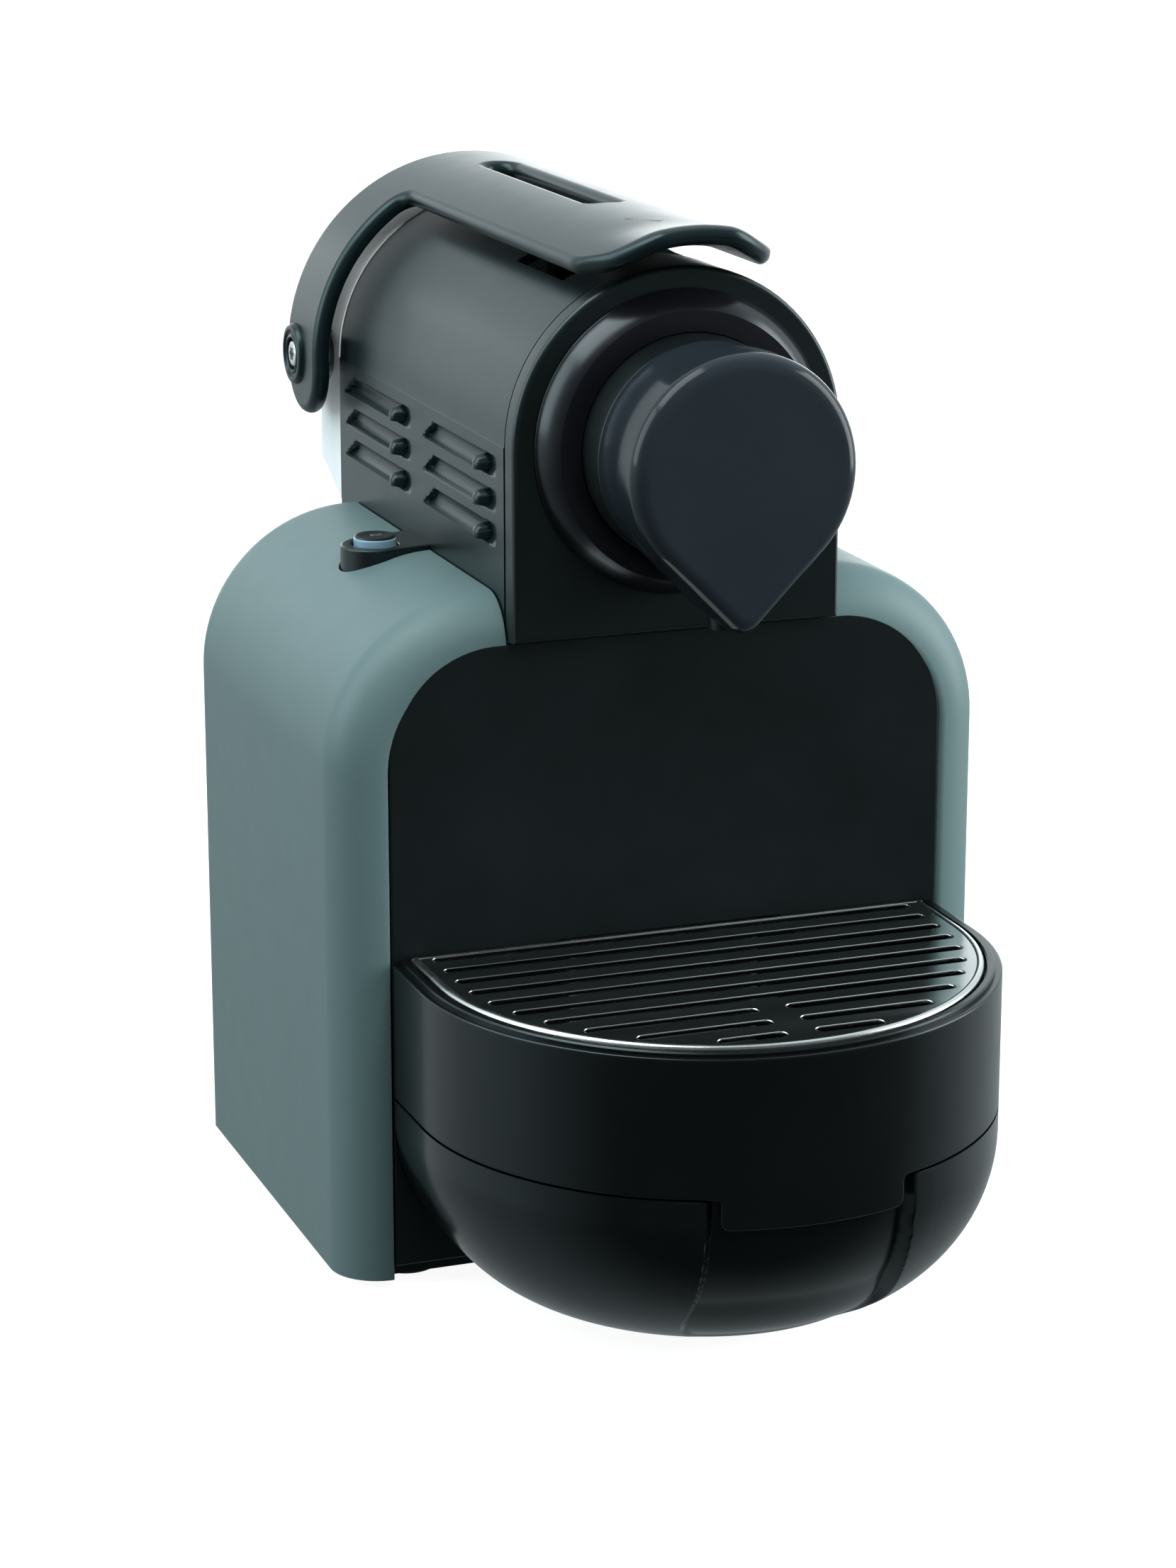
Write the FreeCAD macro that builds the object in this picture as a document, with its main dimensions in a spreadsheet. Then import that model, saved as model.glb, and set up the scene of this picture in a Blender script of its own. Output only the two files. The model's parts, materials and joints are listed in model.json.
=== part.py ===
"""Pod coffee machine with a lift-up lever, a rear water tank and a pull-out cup tray.

Frame: +Z up, +X to the machine's right as seen from the user, -Y to the front.
The origin is under the centre of the bounding box, on the surface the feet stand on.
All sizes are in millimetres.
"""
import FreeCAD, Part
import math
import os
import Sketcher

os.makedirs("parts", exist_ok=True)
doc = FreeCAD.newDocument("PodCoffeeMachine")
V = FreeCAD.Vector

# ---------------------------------------------------------------- driving dimensions

DIMENSIONS = {
    # envelope
    "overall_width": 163.0,
    "overall_depth": 241.2,
    "foot_height": 2.0,
    "wall": 2.5,
    "fit_gap": 0.4,
    # painted side covers and black front panel
    "panel_plane": -30.0,
    "cover_rear": 85.0,
    "cover_top": 164.6,
    "shoulder_radius": 39.0,
    "front_round": 12.0,
    "panel_thickness": 3.0,
    # head: an arch-shaped tunnel on top of the body
    "head_radius": 40.2,
    "head_axis": 199.2,
    "head_front": -27.7,
    "head_rear": 98.5,
    "head_bottom": 155.0,
    "bezel_front": -34.4,
    "ring_radius": 35.3,
    "ring_depth": 6.6,
    "ring_round": 5.6,
    "neck_radius": 26.0,
    "neck_front": -51.0,
    "nose_front": -76.0,
    "nose_radius": 26.8,
    "nose_tip": 163.0,
    "nose_roll": 4.0,
    "spout_depth": -62.0,
    "vent_height": 193.6,
    "vent_pitch": 8.05,
    "vent_length": 42.0,
    "vent_radius": 2.4,
    # lever and the crank inside the head
    "pivot_depth": 110.2,
    "pivot_height": 198.8,
    "lever_outer": 48.5,
    "lever_inner": 44.0,
    "lever_front": -46.4,
    "lever_corner": 15.4,
    "lever_wrap": 30.8,
    "lever_fillet": 5.0,
    "lever_lip_top": 250.6,
    "arm_front": 91.0,
    "arm_rear": 116.0,
    "lever_lift": 95.0,
    "crank_radius": 28.0,
    "crank_pin": 3.0,
    "cage_travel": 27.0,
    "cage_radius": 21.0,
    # cup tray
    "tray_radius": 69.0,
    "bowl_round": 40.0,
    "seam_height": 47.4,
    "rim_height": 80.4,
    "grid_height": 82.0,
    "slot_pitch": 8.35,
    "slot_width": 2.8,
    # water tank
    "tank_half": 64.0,
    "tank_front": 86.0,
    "tank_floor": 10.4,
    "tank_top": 148.0,
    "tank_shoulder": 34.0,
    "tank_wall": 2.0,
    # shoulder buttons
    "button_place": 52.3,
    "button_depth": 31.6,
    "button_radius": 5.2,
    "pad_top": 165.8,
}

sheet = doc.addObject("Spreadsheet::Sheet", "Sizes")
for row, (alias, value) in enumerate(DIMENSIONS.items(), start=1):
    sheet.set("A%d" % row, alias)
    sheet.set("B%d" % row, str(value))
    sheet.setAlias("B%d" % row, alias)
doc.recompute()


class Size:
    """A dimension: its value now and the spreadsheet expression that it follows."""

    def __init__(self, value, text):
        self.value = float(value)
        self.text = text

    def joined(self, other, sign, value):
        return Size(value, "(%s %s %s)" % (self.text, sign, size(other).text))

    def __add__(self, other):
        return self.joined(other, "+", self.value + size(other).value)

    def __sub__(self, other):
        return self.joined(other, "-", self.value - size(other).value)

    def __mul__(self, other):
        return self.joined(other, "*", self.value * size(other).value)

    def __truediv__(self, other):
        return self.joined(other, "/", self.value / size(other).value)

    def __radd__(self, other):
        return size(other) + self

    def __rsub__(self, other):
        return size(other) - self

    def __rmul__(self, other):
        return size(other) * self

    def __neg__(self):
        return Size(-self.value, "(-1 * %s)" % self.text)


def size(number):
    """A plain number becomes a Size whose expression is the number itself."""
    if isinstance(number, Size):
        return number
    return Size(number, "(%s)" % repr(float(number)))


class Sheet:
    """Gives each alias of the spreadsheet as a Size: D.wall, D.head_axis and so on."""

    def __getattr__(self, alias):
        return Size(sheet.get(alias), "Sizes." + alias)


D = Sheet()
HALF_WIDTH = D.overall_width / 2
HALF_DEPTH = D.overall_depth / 2
TRAY_CENTRE = D.tray_radius - HALF_DEPTH
PLANES = {"xy": "XY_Plane", "xz": "XZ_Plane", "yz": "YZ_Plane"}


# ---------------------------------------------------------------- modelling helpers

def bind(thing, prop, value):
    thing.setExpression(prop, size(value).text)


def place(thing, x, y, z):
    for letter, value in zip("xyz", (x, y, z)):
        bind(thing, "Placement.Base." + letter, value)


def block(name, x_range, y_range, z_range):
    """A Part::Box between two corners."""
    thing = doc.addObject("Part::Box", name)
    for prop, (low, high) in zip(("Length", "Width", "Height"), (x_range, y_range, z_range)):
        bind(thing, prop, size(high) - low)
    place(thing, x_range[0], y_range[0], z_range[0])
    return thing


AXES = {"x": V(1, 0, 0), "y": V(0, 1, 0), "z": V(0, 0, 1)}


def rod(name, axis, start, length, radius):
    """A Part::Cylinder from a start point along the positive x, y or z axis."""
    thing = doc.addObject("Part::Cylinder", name)
    thing.Placement = FreeCAD.Placement(V(0, 0, 0), FreeCAD.Rotation(AXES["z"], AXES[axis]))
    bind(thing, "Radius", radius)
    bind(thing, "Height", length)
    place(thing, *start)
    return thing


def ball(name, centre, radius):
    thing = doc.addObject("Part::Sphere", name)
    bind(thing, "Radius", radius)
    place(thing, *centre)
    return thing


def cut(name, base, *tools):
    """Base minus the tools."""
    thing = doc.addObject("Part::Cut", name)
    thing.Base = base
    thing.Tool = tools[0] if len(tools) == 1 else joined(name + "_tools", *tools)
    return thing


def joined(name, *parts):
    thing = doc.addObject("Part::MultiFuse", name)
    thing.Shapes = list(parts)
    return thing


def overlap(name, first, second):
    thing = doc.addObject("Part::Common", name)
    thing.Base = first
    thing.Tool = second
    return thing


def group(name, *parts):
    """Separate solids that share one node."""
    thing = doc.addObject("Part::Compound", name)
    thing.Links = list(parts)
    return thing


def mirrored(name, source):
    """The source reflected in the machine's middle plane."""
    thing = doc.addObject("Part::Mirroring", name)
    thing.Source = source
    thing.Normal = V(1, 0, 0)
    return thing


def shaped(name, shape):
    """A Part::Feature for a form that neither bodies nor primitives give."""
    thing = doc.addObject("Part::Feature", name)
    thing.Shape = shape
    return thing


def arc_between(start, end, radius):
    """The short counter-clockwise arc from start to end."""
    chord = end - start
    middle = (start + end) * 0.5
    rise = math.sqrt(max(radius ** 2 - (chord.Length / 2) ** 2, 0.0))
    centre = middle + V(-chord.y, chord.x, 0).normalize() * rise
    first = math.atan2(start.y - centre.y, start.x - centre.x)
    last = math.atan2(end.y - centre.y, end.x - centre.x)
    if last < first:
        last += 2 * math.pi
    return Part.ArcOfCircle(Part.Circle(centre, V(0, 0, 1), radius), first, last)


def pin_point(sketch, geometry, vertex, point):
    for kind, value in zip(("DistanceX", "DistanceY"), point[:2]):
        value = size(value)
        number = sketch.addConstraint(Sketcher.Constraint(kind, geometry, vertex, value.value))
        sketch.setExpression("Constraints[%d]" % number, value.text)


def pin_radius(sketch, geometry, radius):
    number = sketch.addConstraint(Sketcher.Constraint("Radius", geometry, radius.value))
    sketch.setExpression("Constraints[%d]" % number, radius.text)


def draw_circle(sketch, x, y, radius):
    circle = Part.Circle(V(size(x).value, size(y).value, 0), V(0, 0, 1), size(radius).value)
    geometry = sketch.addGeometry(circle)
    pin_point(sketch, geometry, 3, (x, y))
    pin_radius(sketch, geometry, size(radius))


def draw_outline(sketch, outline):
    """A closed outline. Each corner is (x, y), or (x, y, r) when an arc of radius r that
    turns left arrives there, or (x, y, r, "right") when that arc turns right."""
    ends = []
    for index, point in enumerate(outline):
        before = outline[index - 1]
        start = V(size(before[0]).value, size(before[1]).value, 0)
        end = V(size(point[0]).value, size(point[1]).value, 0)
        if len(point) == 2:
            geometry = sketch.addGeometry(Part.LineSegment(start, end))
            ends.append((geometry, 1, 2))
        elif len(point) == 3:
            geometry = sketch.addGeometry(arc_between(start, end, size(point[2]).value))
            ends.append((geometry, 1, 2))
            pin_radius(sketch, geometry, size(point[2]))
        else:
            geometry = sketch.addGeometry(arc_between(end, start, size(point[2]).value))
            ends.append((geometry, 2, 1))
            pin_radius(sketch, geometry, size(point[2]))
    for index, (geometry, first, last) in enumerate(ends):
        following, next_first, _ = ends[(index + 1) % len(ends)]
        sketch.addConstraint(Sketcher.Constraint("Coincident", geometry, last, following, next_first))
        pin_point(sketch, geometry, last, outline[index])


def new_sketch(body, name, plane, offset, outlines):
    """A sketch on one of the body's origin planes, moved by offset in the plane's own axes."""
    sketch = body.newObject("Sketcher::SketchObject", name)
    features = [item for item in body.Origin.OriginFeatures if item.Role == PLANES[plane]]
    sketch.AttachmentSupport = [(features[0], "")]
    sketch.MapMode = "FlatFace"
    for letter, value in zip("xyz", offset):
        bind(sketch, "AttachmentOffset.Base." + letter, value)
    for outline in outlines:
        if outline[0] == "circle":
            draw_circle(sketch, *outline[1:])
        else:
            draw_outline(sketch, outline)
    return sketch


def prism(name, plane, low, high, *outlines, body=None):
    """A padded sketch between two stations along the plane's normal axis."""
    body = body or doc.addObject("PartDesign::Body", name)
    station = -size(high) if plane == "xz" else size(low)
    sketch = new_sketch(body, name + "_sketch", plane, (0, 0, station), outlines)
    pad = body.newObject("PartDesign::Pad", name + "_pad")
    pad.Profile = sketch
    bind(pad, "Length", size(high) - low)
    sketch.Visibility = False
    return body


def turned(name, axis, centre, *outlines, angle=360.0, body=None):
    """A revolved sketch. Points are (along the axis, radius) for x and y, and
    (radius, along the axis) for z, all measured from the centre."""
    body = body or doc.addObject("PartDesign::Body", name)
    x, y, z = (size(value) for value in centre)
    plane = "yz" if axis == "y" else "xz"
    offset = (y, z, x) if axis == "y" else (x, z, -y)
    sketch = new_sketch(body, name + "_sketch", plane, offset, outlines)
    turn = body.newObject("PartDesign::Revolution", name + "_turn")
    turn.Profile = sketch
    turn.ReferenceAxis = (sketch, ["V_Axis" if axis == "z" else "H_Axis"])
    turn.Angle = angle
    sketch.Visibility = False
    return body


def rounded_edges(name, base, radius, choose):
    """A Part::Fillet on the edges of base that choose(edge) accepts."""
    doc.recompute()
    thing = doc.addObject("Part::Fillet", name)
    thing.Base = base
    edges = []
    for number, edge in enumerate(base.Shape.Edges, start=1):
        if choose(edge):
            edges.append((number, radius, radius))
    thing.Edges = edges
    return thing


def at(edge, axis, value, slack=0.01):
    """True when the whole edge lies in the plane axis = value."""
    box = edge.BoundBox
    low = getattr(box, axis.upper() + "Min")
    high = getattr(box, axis.upper() + "Max")
    target = size(value).value
    return abs(low - target) < slack and abs(high - target) < slack


# ---------------------------------------------------------------- outlines used more than once

def arch_outline(half, bottom, top, radius):
    """An upright rectangle with both top corners rounded, in an x-z plane."""
    half, bottom, top, radius = size(half), size(bottom), size(top), size(radius)
    return [(half, bottom), (half, top - radius), (half - radius, top, radius),
            (radius - half, top), (-half, top - radius, radius), (-half, bottom)]


def tunnel_outline(radius, bottom):
    """An upright rectangle that ends in a half circle about the head's axis."""
    radius, top = size(radius), D.head_axis + radius
    return [(radius, bottom), (radius, D.head_axis), (0, top, radius),
            (-radius, D.head_axis, radius), (-radius, bottom)]


def bow_outline(radius, back):
    """The tray's plan: straight sides from the back edge, then a half circle at the front."""
    radius = size(radius)
    return [(-radius, back), (-radius, TRAY_CENTRE), (0, TRAY_CENTRE - radius, radius),
            (radius, TRAY_CENTRE, radius), (radius, back)]


def rectangle(x_range, y_range):
    return [(x_range[0], y_range[0]), (x_range[1], y_range[0]),
            (x_range[1], y_range[1]), (x_range[0], y_range[1])]


def rounded_rectangle(x_range, y_range, radius):
    (left, right), (low, high) = x_range, y_range
    left, right, low, high = size(left), size(right), size(low), size(high)
    radius = size(radius)
    return [(right, low + radius, radius), (right, high - radius),
            (right - radius, high, radius), (left + radius, high),
            (left, high - radius, radius), (left, low + radius),
            (left + radius, low, radius), (right - radius, low)]


def washer(inner, outer, low, high):
    """The profile of a plain ring, as (along, radius) points."""
    return [(low, inner), (high, inner), (high, outer), (low, outer)]


nodes = {}


def node(thing, name=None):
    """Names a finished sub-part; its label becomes its file's name."""
    thing.Label = name or thing.Name
    nodes[thing.Label] = thing
    return thing


# ---------------------------------------------------------------- body covers

def half_cover(name, inset, front_round):
    """One solid quarter of the body's arch, left of the head, used for a cover's two faces."""
    side = HALF_WIDTH - inset
    corner = D.shoulder_radius - inset
    top = D.cover_top - inset
    body = prism(name, "xz", D.panel_plane + inset, D.cover_rear + inset, [
        (-(D.head_radius + D.fit_gap - inset), D.foot_height - inset),
        (-(D.head_radius + D.fit_gap - inset), top),
        (-(side - corner), top),
        (-side, top - corner, corner),
        (-side, D.foot_height - inset),
    ])

    def front_rim(edge):
        inner = -(D.head_radius + D.fit_gap - inset).value
        return (at(edge, "y", D.panel_plane + inset) and edge.BoundBox.XMin < inner - 1
                and not at(edge, "z", D.foot_height - inset))

    return rounded_edges(name + "_rounded", body, front_round.value, front_rim)


def add_side_covers():
    outer = half_cover("cover_outer", size(0), D.front_round)
    inner = half_cover("cover_inner", D.wall, D.front_round - D.wall)
    front_window = prism("cover_window", "xz", D.panel_plane - 5, D.panel_plane + 8,
                         arch_outline(HALF_WIDTH - D.front_round, -5,
                                      D.cover_top - D.front_round + 2.2,
                                      D.shoulder_radius - D.front_round + 1.8))
    pad_window = prism("cover_pad_window", "xy", 140, 180, pad_outline(D.fit_gap))
    left = cut("left_side_cover", outer, inner, front_window, pad_window)
    node(left)
    node(mirrored("right_side_cover", left))


def pad_outline(gap):
    """The left button pad from above: a round end and two flanks that run to the head."""
    radius = 8.4 + size(gap)
    inner = -(D.head_radius - 1.5)
    return [(inner, D.button_depth - 5.2 - gap), (inner, D.button_depth + 12.8 + gap),
            (-(D.button_place + 1.4), D.button_depth + radius),
            (-(D.button_place + radius), D.button_depth, radius),
            (-D.button_place, D.button_depth - radius, radius)]


def add_front_panel():
    plate = prism("front_panel", "xz", D.panel_plane, D.panel_plane + D.panel_thickness,
                  arch_outline(HALF_WIDTH - D.front_round - 0.6, D.foot_height + 3.3,
                               D.head_bottom - 0.8, 28.5),
                  rounded_rectangle((-31, 31), (D.seam_height + 1, D.grid_height - 0.6), 4))
    node(plate)


def add_base():
    half = HALF_WIDTH - 3
    plate = prism("base_slab", "xy", D.foot_height, D.foot_height + 3,
                  rounded_rectangle((-half, half), (D.panel_plane + 3.5, D.cover_rear - 3.5), 9))
    bosses = []
    holes = []
    feet = []
    screws = []
    for number, (side, depth) in enumerate([(-1, -16), (1, -16), (-1, 68), (1, 68)], start=1):
        foot_x = 62.0 * side
        feet.append(turned("foot_%d" % number, "z", (foot_x, depth, 0), [
            (0, 0), (7.2, 0), (8, 0.8, 0.8), (8, D.foot_height - 0.2), (5, D.foot_height - 0.2),
            (5, D.foot_height + 2), (0, D.foot_height + 2)]))
        holes.append(rod("foot_seat_%d" % number, "z", (foot_x, depth, 0), D.foot_height + 2.1, 5.1))
        screw_x = 44.0 * side
        bosses.append(rod("screw_boss_%d" % number, "z", (screw_x, depth, D.foot_height + 3), 7, 4.5))
        holes.append(rod("screw_hole_%d" % number, "z", (screw_x, depth, 0), 20, 1.75))
        holes.append(rod("screw_sink_%d" % number, "z", (screw_x, depth, 0), D.foot_height + 2.2, 3.4))
        head = rod("screw_head_%d" % number, "z", (screw_x, depth, D.foot_height + 0.1), 2, 3)
        shank = rod("screw_shank_%d" % number, "z", (screw_x, depth, D.foot_height + 2), 9, 1.5)
        recess = prism("screw_recess_%d" % number, "xy", D.foot_height, D.foot_height + 1.2,
                       rectangle((screw_x - 0.5, screw_x + 0.5), (depth - 2, depth + 2)))
        screws.append(cut("base_screw_%d" % number, joined("screw_%d" % number, head, shank), recess))
    node(cut("base_plate", joined("base_with_bosses", plate, *bosses), *holes))
    node(group("rubber_feet", *feet))
    node(group("base_screws", *screws))


def add_rear_panel():
    back = D.cover_rear
    plate = prism("rear_slab", "xz", back - 3, back,
                  arch_outline(HALF_WIDTH - D.wall - 0.4, D.foot_height + 5.3,
                               D.head_bottom - 0.6, 36),
                  ["circle", 0, 24, 9.0], ["circle", 71, 22, 4.2],
                  rectangle((-75.5, -66.5), (16.5, 29.5)))
    slots = []
    for number in range(7):
        height = 96.0 + 6 * number
        slots.append(prism("air_slot_%d" % number, "xz", back - 6, back + 6,
                           rounded_rectangle((-76, -67), (height, height + 2.6), 1.2)))
    node(cut("rear_panel", plate, *slots))
    gland = turned("cord_gland", "y", (71, back, 22), [
        (-7, 3.3), (9, 3.3), (9, 4.6), (3, 6.0), (0.05, 6.0), (0.05, 4.1), (-3.1, 4.1),
        (-3.1, 5.4), (-7, 4.6)])
    node(gland)


def add_power_switch():
    back = D.cover_rear
    shell = prism("switch_shell", "xz", back - 14, back,
                  rectangle((-75.3, -66.7), (16.7, 29.3)), rectangle((-74.3, -67.7), (17.7, 28.3)))
    rim = prism("switch_rim", "xz", back + 0.05, back + 1.2,
                rectangle((-76.5, -65.5), (15.5, 30.5)), rectangle((-74.3, -67.7), (17.7, 28.3)))
    bridge = prism("switch_bridge", "xz", back - 0.4, back + 0.4,
                   rectangle((-75.3, -66.7), (16.7, 29.3)), rectangle((-74.3, -67.7), (17.7, 28.3)))
    node(joined("power_switch_housing", shell, rim, bridge))
    key = prism("rocker_key", "yz", -73.8, -68.2, [
        (back - 5, 19), (back - 5, 27), (back - 0.2, 27.6), (back + 1.2, 27.2),
        (back + 0.2, 23), (back + 1.2, 18.8), (back - 0.2, 18.4)])
    pin = rod("rocker_pin", "x", (-74.2, back - 0.8, 23), 6.4, 1.0)
    node(joined("power_rocker", key, pin))


# ---------------------------------------------------------------- head

def add_head_cover():
    shell = prism("head_shell", "xz", D.head_front, D.head_rear,
                  tunnel_outline(D.head_radius, D.head_bottom))
    hollow = prism("head_hollow", "xz", D.head_front - 1, D.head_rear + 1,
                   tunnel_outline(D.head_radius - D.wall, D.head_bottom - 1))
    slot = prism("capsule_slot", "xy", D.head_axis + 25, D.head_axis + 50,
                 rounded_rectangle((-20, 20), (-12, 20), 5))
    pads = prism("pad_notches", "xy", 140, D.pad_top + 0.3,
                 rectangle((-(D.head_radius + 1), -(D.head_radius - 4)),
                           (D.button_depth - 6, D.button_depth + 13.6)))
    tools = [hollow, slot, pads, mirrored("pad_notches_right", pads)]
    bumps = []
    for column, back in enumerate((92.0, 29.0)):
        for row in range(3):
            height = D.vent_height - D.vent_pitch * row
            front = back - D.vent_length
            name = "vent_%d%d" % (column, row)
            flute = rod(name, "y", (-(D.head_radius + 0.9), front, height), D.vent_length, D.vent_radius)
            hole = block(name + "_hole", (-(D.head_radius + 1), -(D.head_radius - 4)),
                         (front - 7, front - 2.6), (height - 1.8, height + 1.2))
            dome = ball(name + "_dome", (-(D.head_radius - 0.3), front, height - 0.6), D.vent_radius - 0.1)
            tools += [flute, mirrored(name + "_right", flute)]
            tools += [hole, mirrored(name + "_hole_right", hole)]
            bumps += [dome, mirrored(name + "_dome_right", dome)]
    node(joined("head_cover", cut("head_cover_cut", shell, *tools), *bumps))


def add_rear_hood():
    """The head's rear end, cut away below so that the tank's lid can be reached."""
    low_front = D.head_bottom + 7.6
    low_rear = D.head_bottom + 15.0

    def side_profile(name, inset):
        front = D.head_rear + 0.3 - inset * 2
        rear = HALF_DEPTH - inset
        return prism(name, "yz", -50, 50, [
            (front, low_front + inset), (front + 14.2 + inset, low_rear + inset), (rear, low_rear + inset),
            (rear, 236 - inset), (rear - 6, 242 - inset, 6), (front, 242 - inset)])

    outer = overlap("hood_outer", prism("hood_tunnel", "xz", D.head_rear + 0.3, HALF_DEPTH,
                                        tunnel_outline(D.head_radius, 150)),
                    side_profile("hood_side", size(0)))
    inner = overlap("hood_inner", prism("hood_inner_tunnel", "xz", D.head_rear - 8, HALF_DEPTH - D.wall,
                                        tunnel_outline(D.head_radius - D.wall, 150)),
                    side_profile("hood_inner_side", D.wall))
    bore = rod("hood_bore", "x", (-60, D.pivot_depth, D.pivot_height), 120, 7.1)
    node(cut("rear_hood", outer, inner, bore))


def add_bezel_and_nose():
    plate = prism("bezel_plate", "xz", D.bezel_front, D.head_front - 0.1,
                  tunnel_outline(D.head_radius, D.head_bottom - 0.2),
                  ["circle", 0, D.head_axis, D.neck_radius - 1.5])

    def outer_rim(edge):
        wide = max(abs(edge.BoundBox.XMin), abs(edge.BoundBox.XMax)) > D.ring_radius.value
        return at(edge, "y", D.bezel_front) and wide and not at(edge, "z", D.head_bottom - 0.2)

    node(rounded_edges("head_bezel", plate, 1.4, outer_rim))

    centre = (0, 0, D.head_axis)
    face = D.bezel_front - 0.05
    node(turned("dished_ring", "y", centre, [
        (face, D.neck_radius + 0.2), (face, D.ring_radius),
        (face - D.ring_depth + D.ring_round, D.ring_radius),
        (face - D.ring_depth, D.ring_radius - D.ring_round, D.ring_round),
        (face - D.ring_depth, D.neck_radius + 0.2)]))
    node(turned("nose_neck", "y", centre, [
        (D.head_front, D.neck_radius - 4), (D.head_front, D.neck_radius - 1.7),
        (face - 4, D.neck_radius - 1.7), (face - 4, D.neck_radius),
        (D.neck_front, D.neck_radius), (D.neck_front, D.neck_radius - 4)]))
    node(nose_cover())
    node(turned("coffee_spout", "z", (0, D.spout_depth, 0), [
        (2.2, D.nose_tip - 1), (3.6, D.nose_tip - 1), (4.4, D.nose_tip + 10),
        (4.4, D.head_axis - 14.05), (2.2, D.head_axis - 14.05)]))


def drop_wire(radius, tip, tip_radius, station):
    """A teardrop in an x-z plane: a circle about the head's axis, two tangent flanks and a
    small round tip whose lowest point is at the height tip."""
    axis = D.head_axis.value
    reach = axis - (tip + tip_radius)
    lean = math.asin((radius - tip_radius) / reach)
    flank = V(math.cos(lean), 0, -math.sin(lean))
    top = V(0, station, axis)
    low = V(0, station, tip + tip_radius)
    mirror = V(-flank.x, 0, flank.z)
    upper = Part.Arc(top + flank * radius, top + V(0, 0, radius), top + mirror * radius)
    left = Part.LineSegment(top + mirror * radius, low + mirror * tip_radius)
    lower = Part.Arc(low + mirror * tip_radius, low - V(0, 0, tip_radius), low + flank * tip_radius)
    right = Part.LineSegment(low + flank * tip_radius, top + flank * radius)
    return Part.Wire([piece.toShape() for piece in (upper, left, lower, right)])


def nose_cover():
    """The teardrop cap over the coffee outlet, open at its back and under its tip."""
    wall = D.wall.value
    radius = D.nose_radius.value
    back = D.neck_front.value - 0.05
    depth = back - D.nose_front.value
    outline = drop_wire(radius, D.nose_tip.value, 5.0, D.nose_front.value)
    shell = Part.Face(outline).extrude(V(0, depth, 0))
    front_edges = [edge for edge in shell.Edges if at(edge, "y", D.nose_front)]
    shell = shell.makeFillet(D.nose_roll.value, front_edges)
    inner = Part.Face(drop_wire(radius - wall, D.nose_tip.value + wall, 4.0, D.nose_front.value + wall))
    shell = shell.cut(inner.extrude(V(0, depth, 0)))
    outlet = Part.makeCylinder(5.4, 20, V(0, D.spout_depth.value, D.nose_tip.value - 8))
    return shaped("nose_cover", shell.cut(outlet))


# ---------------------------------------------------------------- brewing unit

def add_brewing_unit():
    axis = D.head_axis
    head = turned("brew_core", "y", (0, 0, axis), [
        (-70, 0), (-70, 14), (D.neck_front - 4, 14), (D.neck_front - 4, 20), (-25.5, 20),
        (-25.5, 17.5), (-28, 17.5), (-28, 0)])
    channel = rod("brew_channel", "y", (0, D.spout_depth - 4, axis), 40, 3)
    drop = rod("brew_drop", "z", (0, D.spout_depth, axis - 20), 20, 2.2)
    node(cut("brew_head", head, channel, drop))

    disc = turned("plate_disc", "y", (0, 0, axis), washer(0, 17.2, -27.95, -26.2))
    teeth = []
    for column in range(-3, 4):
        for row in range(-3, 4):
            if column * column + row * row > 10:
                continue
            tooth = doc.addObject("Part::Cone", "tooth_%d_%d" % (column + 3, row + 3))
            tooth.Placement = FreeCAD.Placement(V(0, 0, 0), FreeCAD.Rotation(AXES["z"], AXES["y"]))
            bind(tooth, "Radius1", 1.7)
            bind(tooth, "Radius2", 0.5)
            bind(tooth, "Height", 1.6)
            place(tooth, 4.2 * column, -26.3, axis + 4.2 * row)
            teeth.append(tooth)
    node(joined("extraction_plate", disc, *teeth))

    plate = prism("left_plate_slab", "yz", -26.5, -23.5, [
        (-24, 176), (D.arm_rear - 1, 176), (D.arm_rear - 1, 214), (D.arm_rear - 9, 222, 8),
        (-16, 222), (-24, 214, 8)])
    bore = rod("plate_bore", "x", (-40, D.pivot_depth, D.pivot_height), 30, 7.1)
    window = prism("plate_window", "yz", -30, -20, rounded_rectangle((30, 92), (180, 190), 4))
    left = node(cut("left_brew_plate", plate, bore, window))
    node(mirrored("right_brew_plate", left))

    spacers = []
    for number, (depth, height) in enumerate([(34, 178.6), (62, 178.6), (104, 179.5)]):
        spacers.append(rod("spacer_%d" % number, "x", (-23.45, depth, height), 46.9, 2.2))
    node(group("plate_spacers", *spacers))

    guides = []
    for left, right in ((-23.3, -21.4), (21.4, 23.3)):
        guides.append(block("guide_%d" % len(guides), (left, right), (-21.5, -18.5), (178, 222)))
    node(group("capsule_guides", *guides))

    node(turned("capsule_cage", "y", (0, 0, axis), [
        (-24, 15.6), (-20.4, 15.6), (3, 12.6), (3, 3.2), (7, 3.2), (7, 12), (4, D.cage_radius - 4),
        (-19, D.cage_radius - 3), (-21, D.cage_radius - 1), (-24, D.cage_radius - 1)]))
    node(turned("cage_seal", "y", (0, 0, axis), washer(16.2, 18.8, -25.2, -24.05)))
    blades = []
    for number in range(3):
        angle = math.radians(90 + 120 * number)
        x = 7 * math.cos(angle)
        z = 7 * math.sin(angle)
        blade = doc.addObject("Part::Cone", "blade_%d" % number)
        blade.Placement = FreeCAD.Placement(V(0, 0, 0), FreeCAD.Rotation(AXES["z"], V(0, -1, 0)))
        bind(blade, "Radius1", 1.3)
        bind(blade, "Radius2", 0.3)
        bind(blade, "Height", 5)
        place(blade, x, 2.95, axis + z)
        blades.append(blade)
    node(group("piercing_blades", *blades))
    node(carriage())


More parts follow.
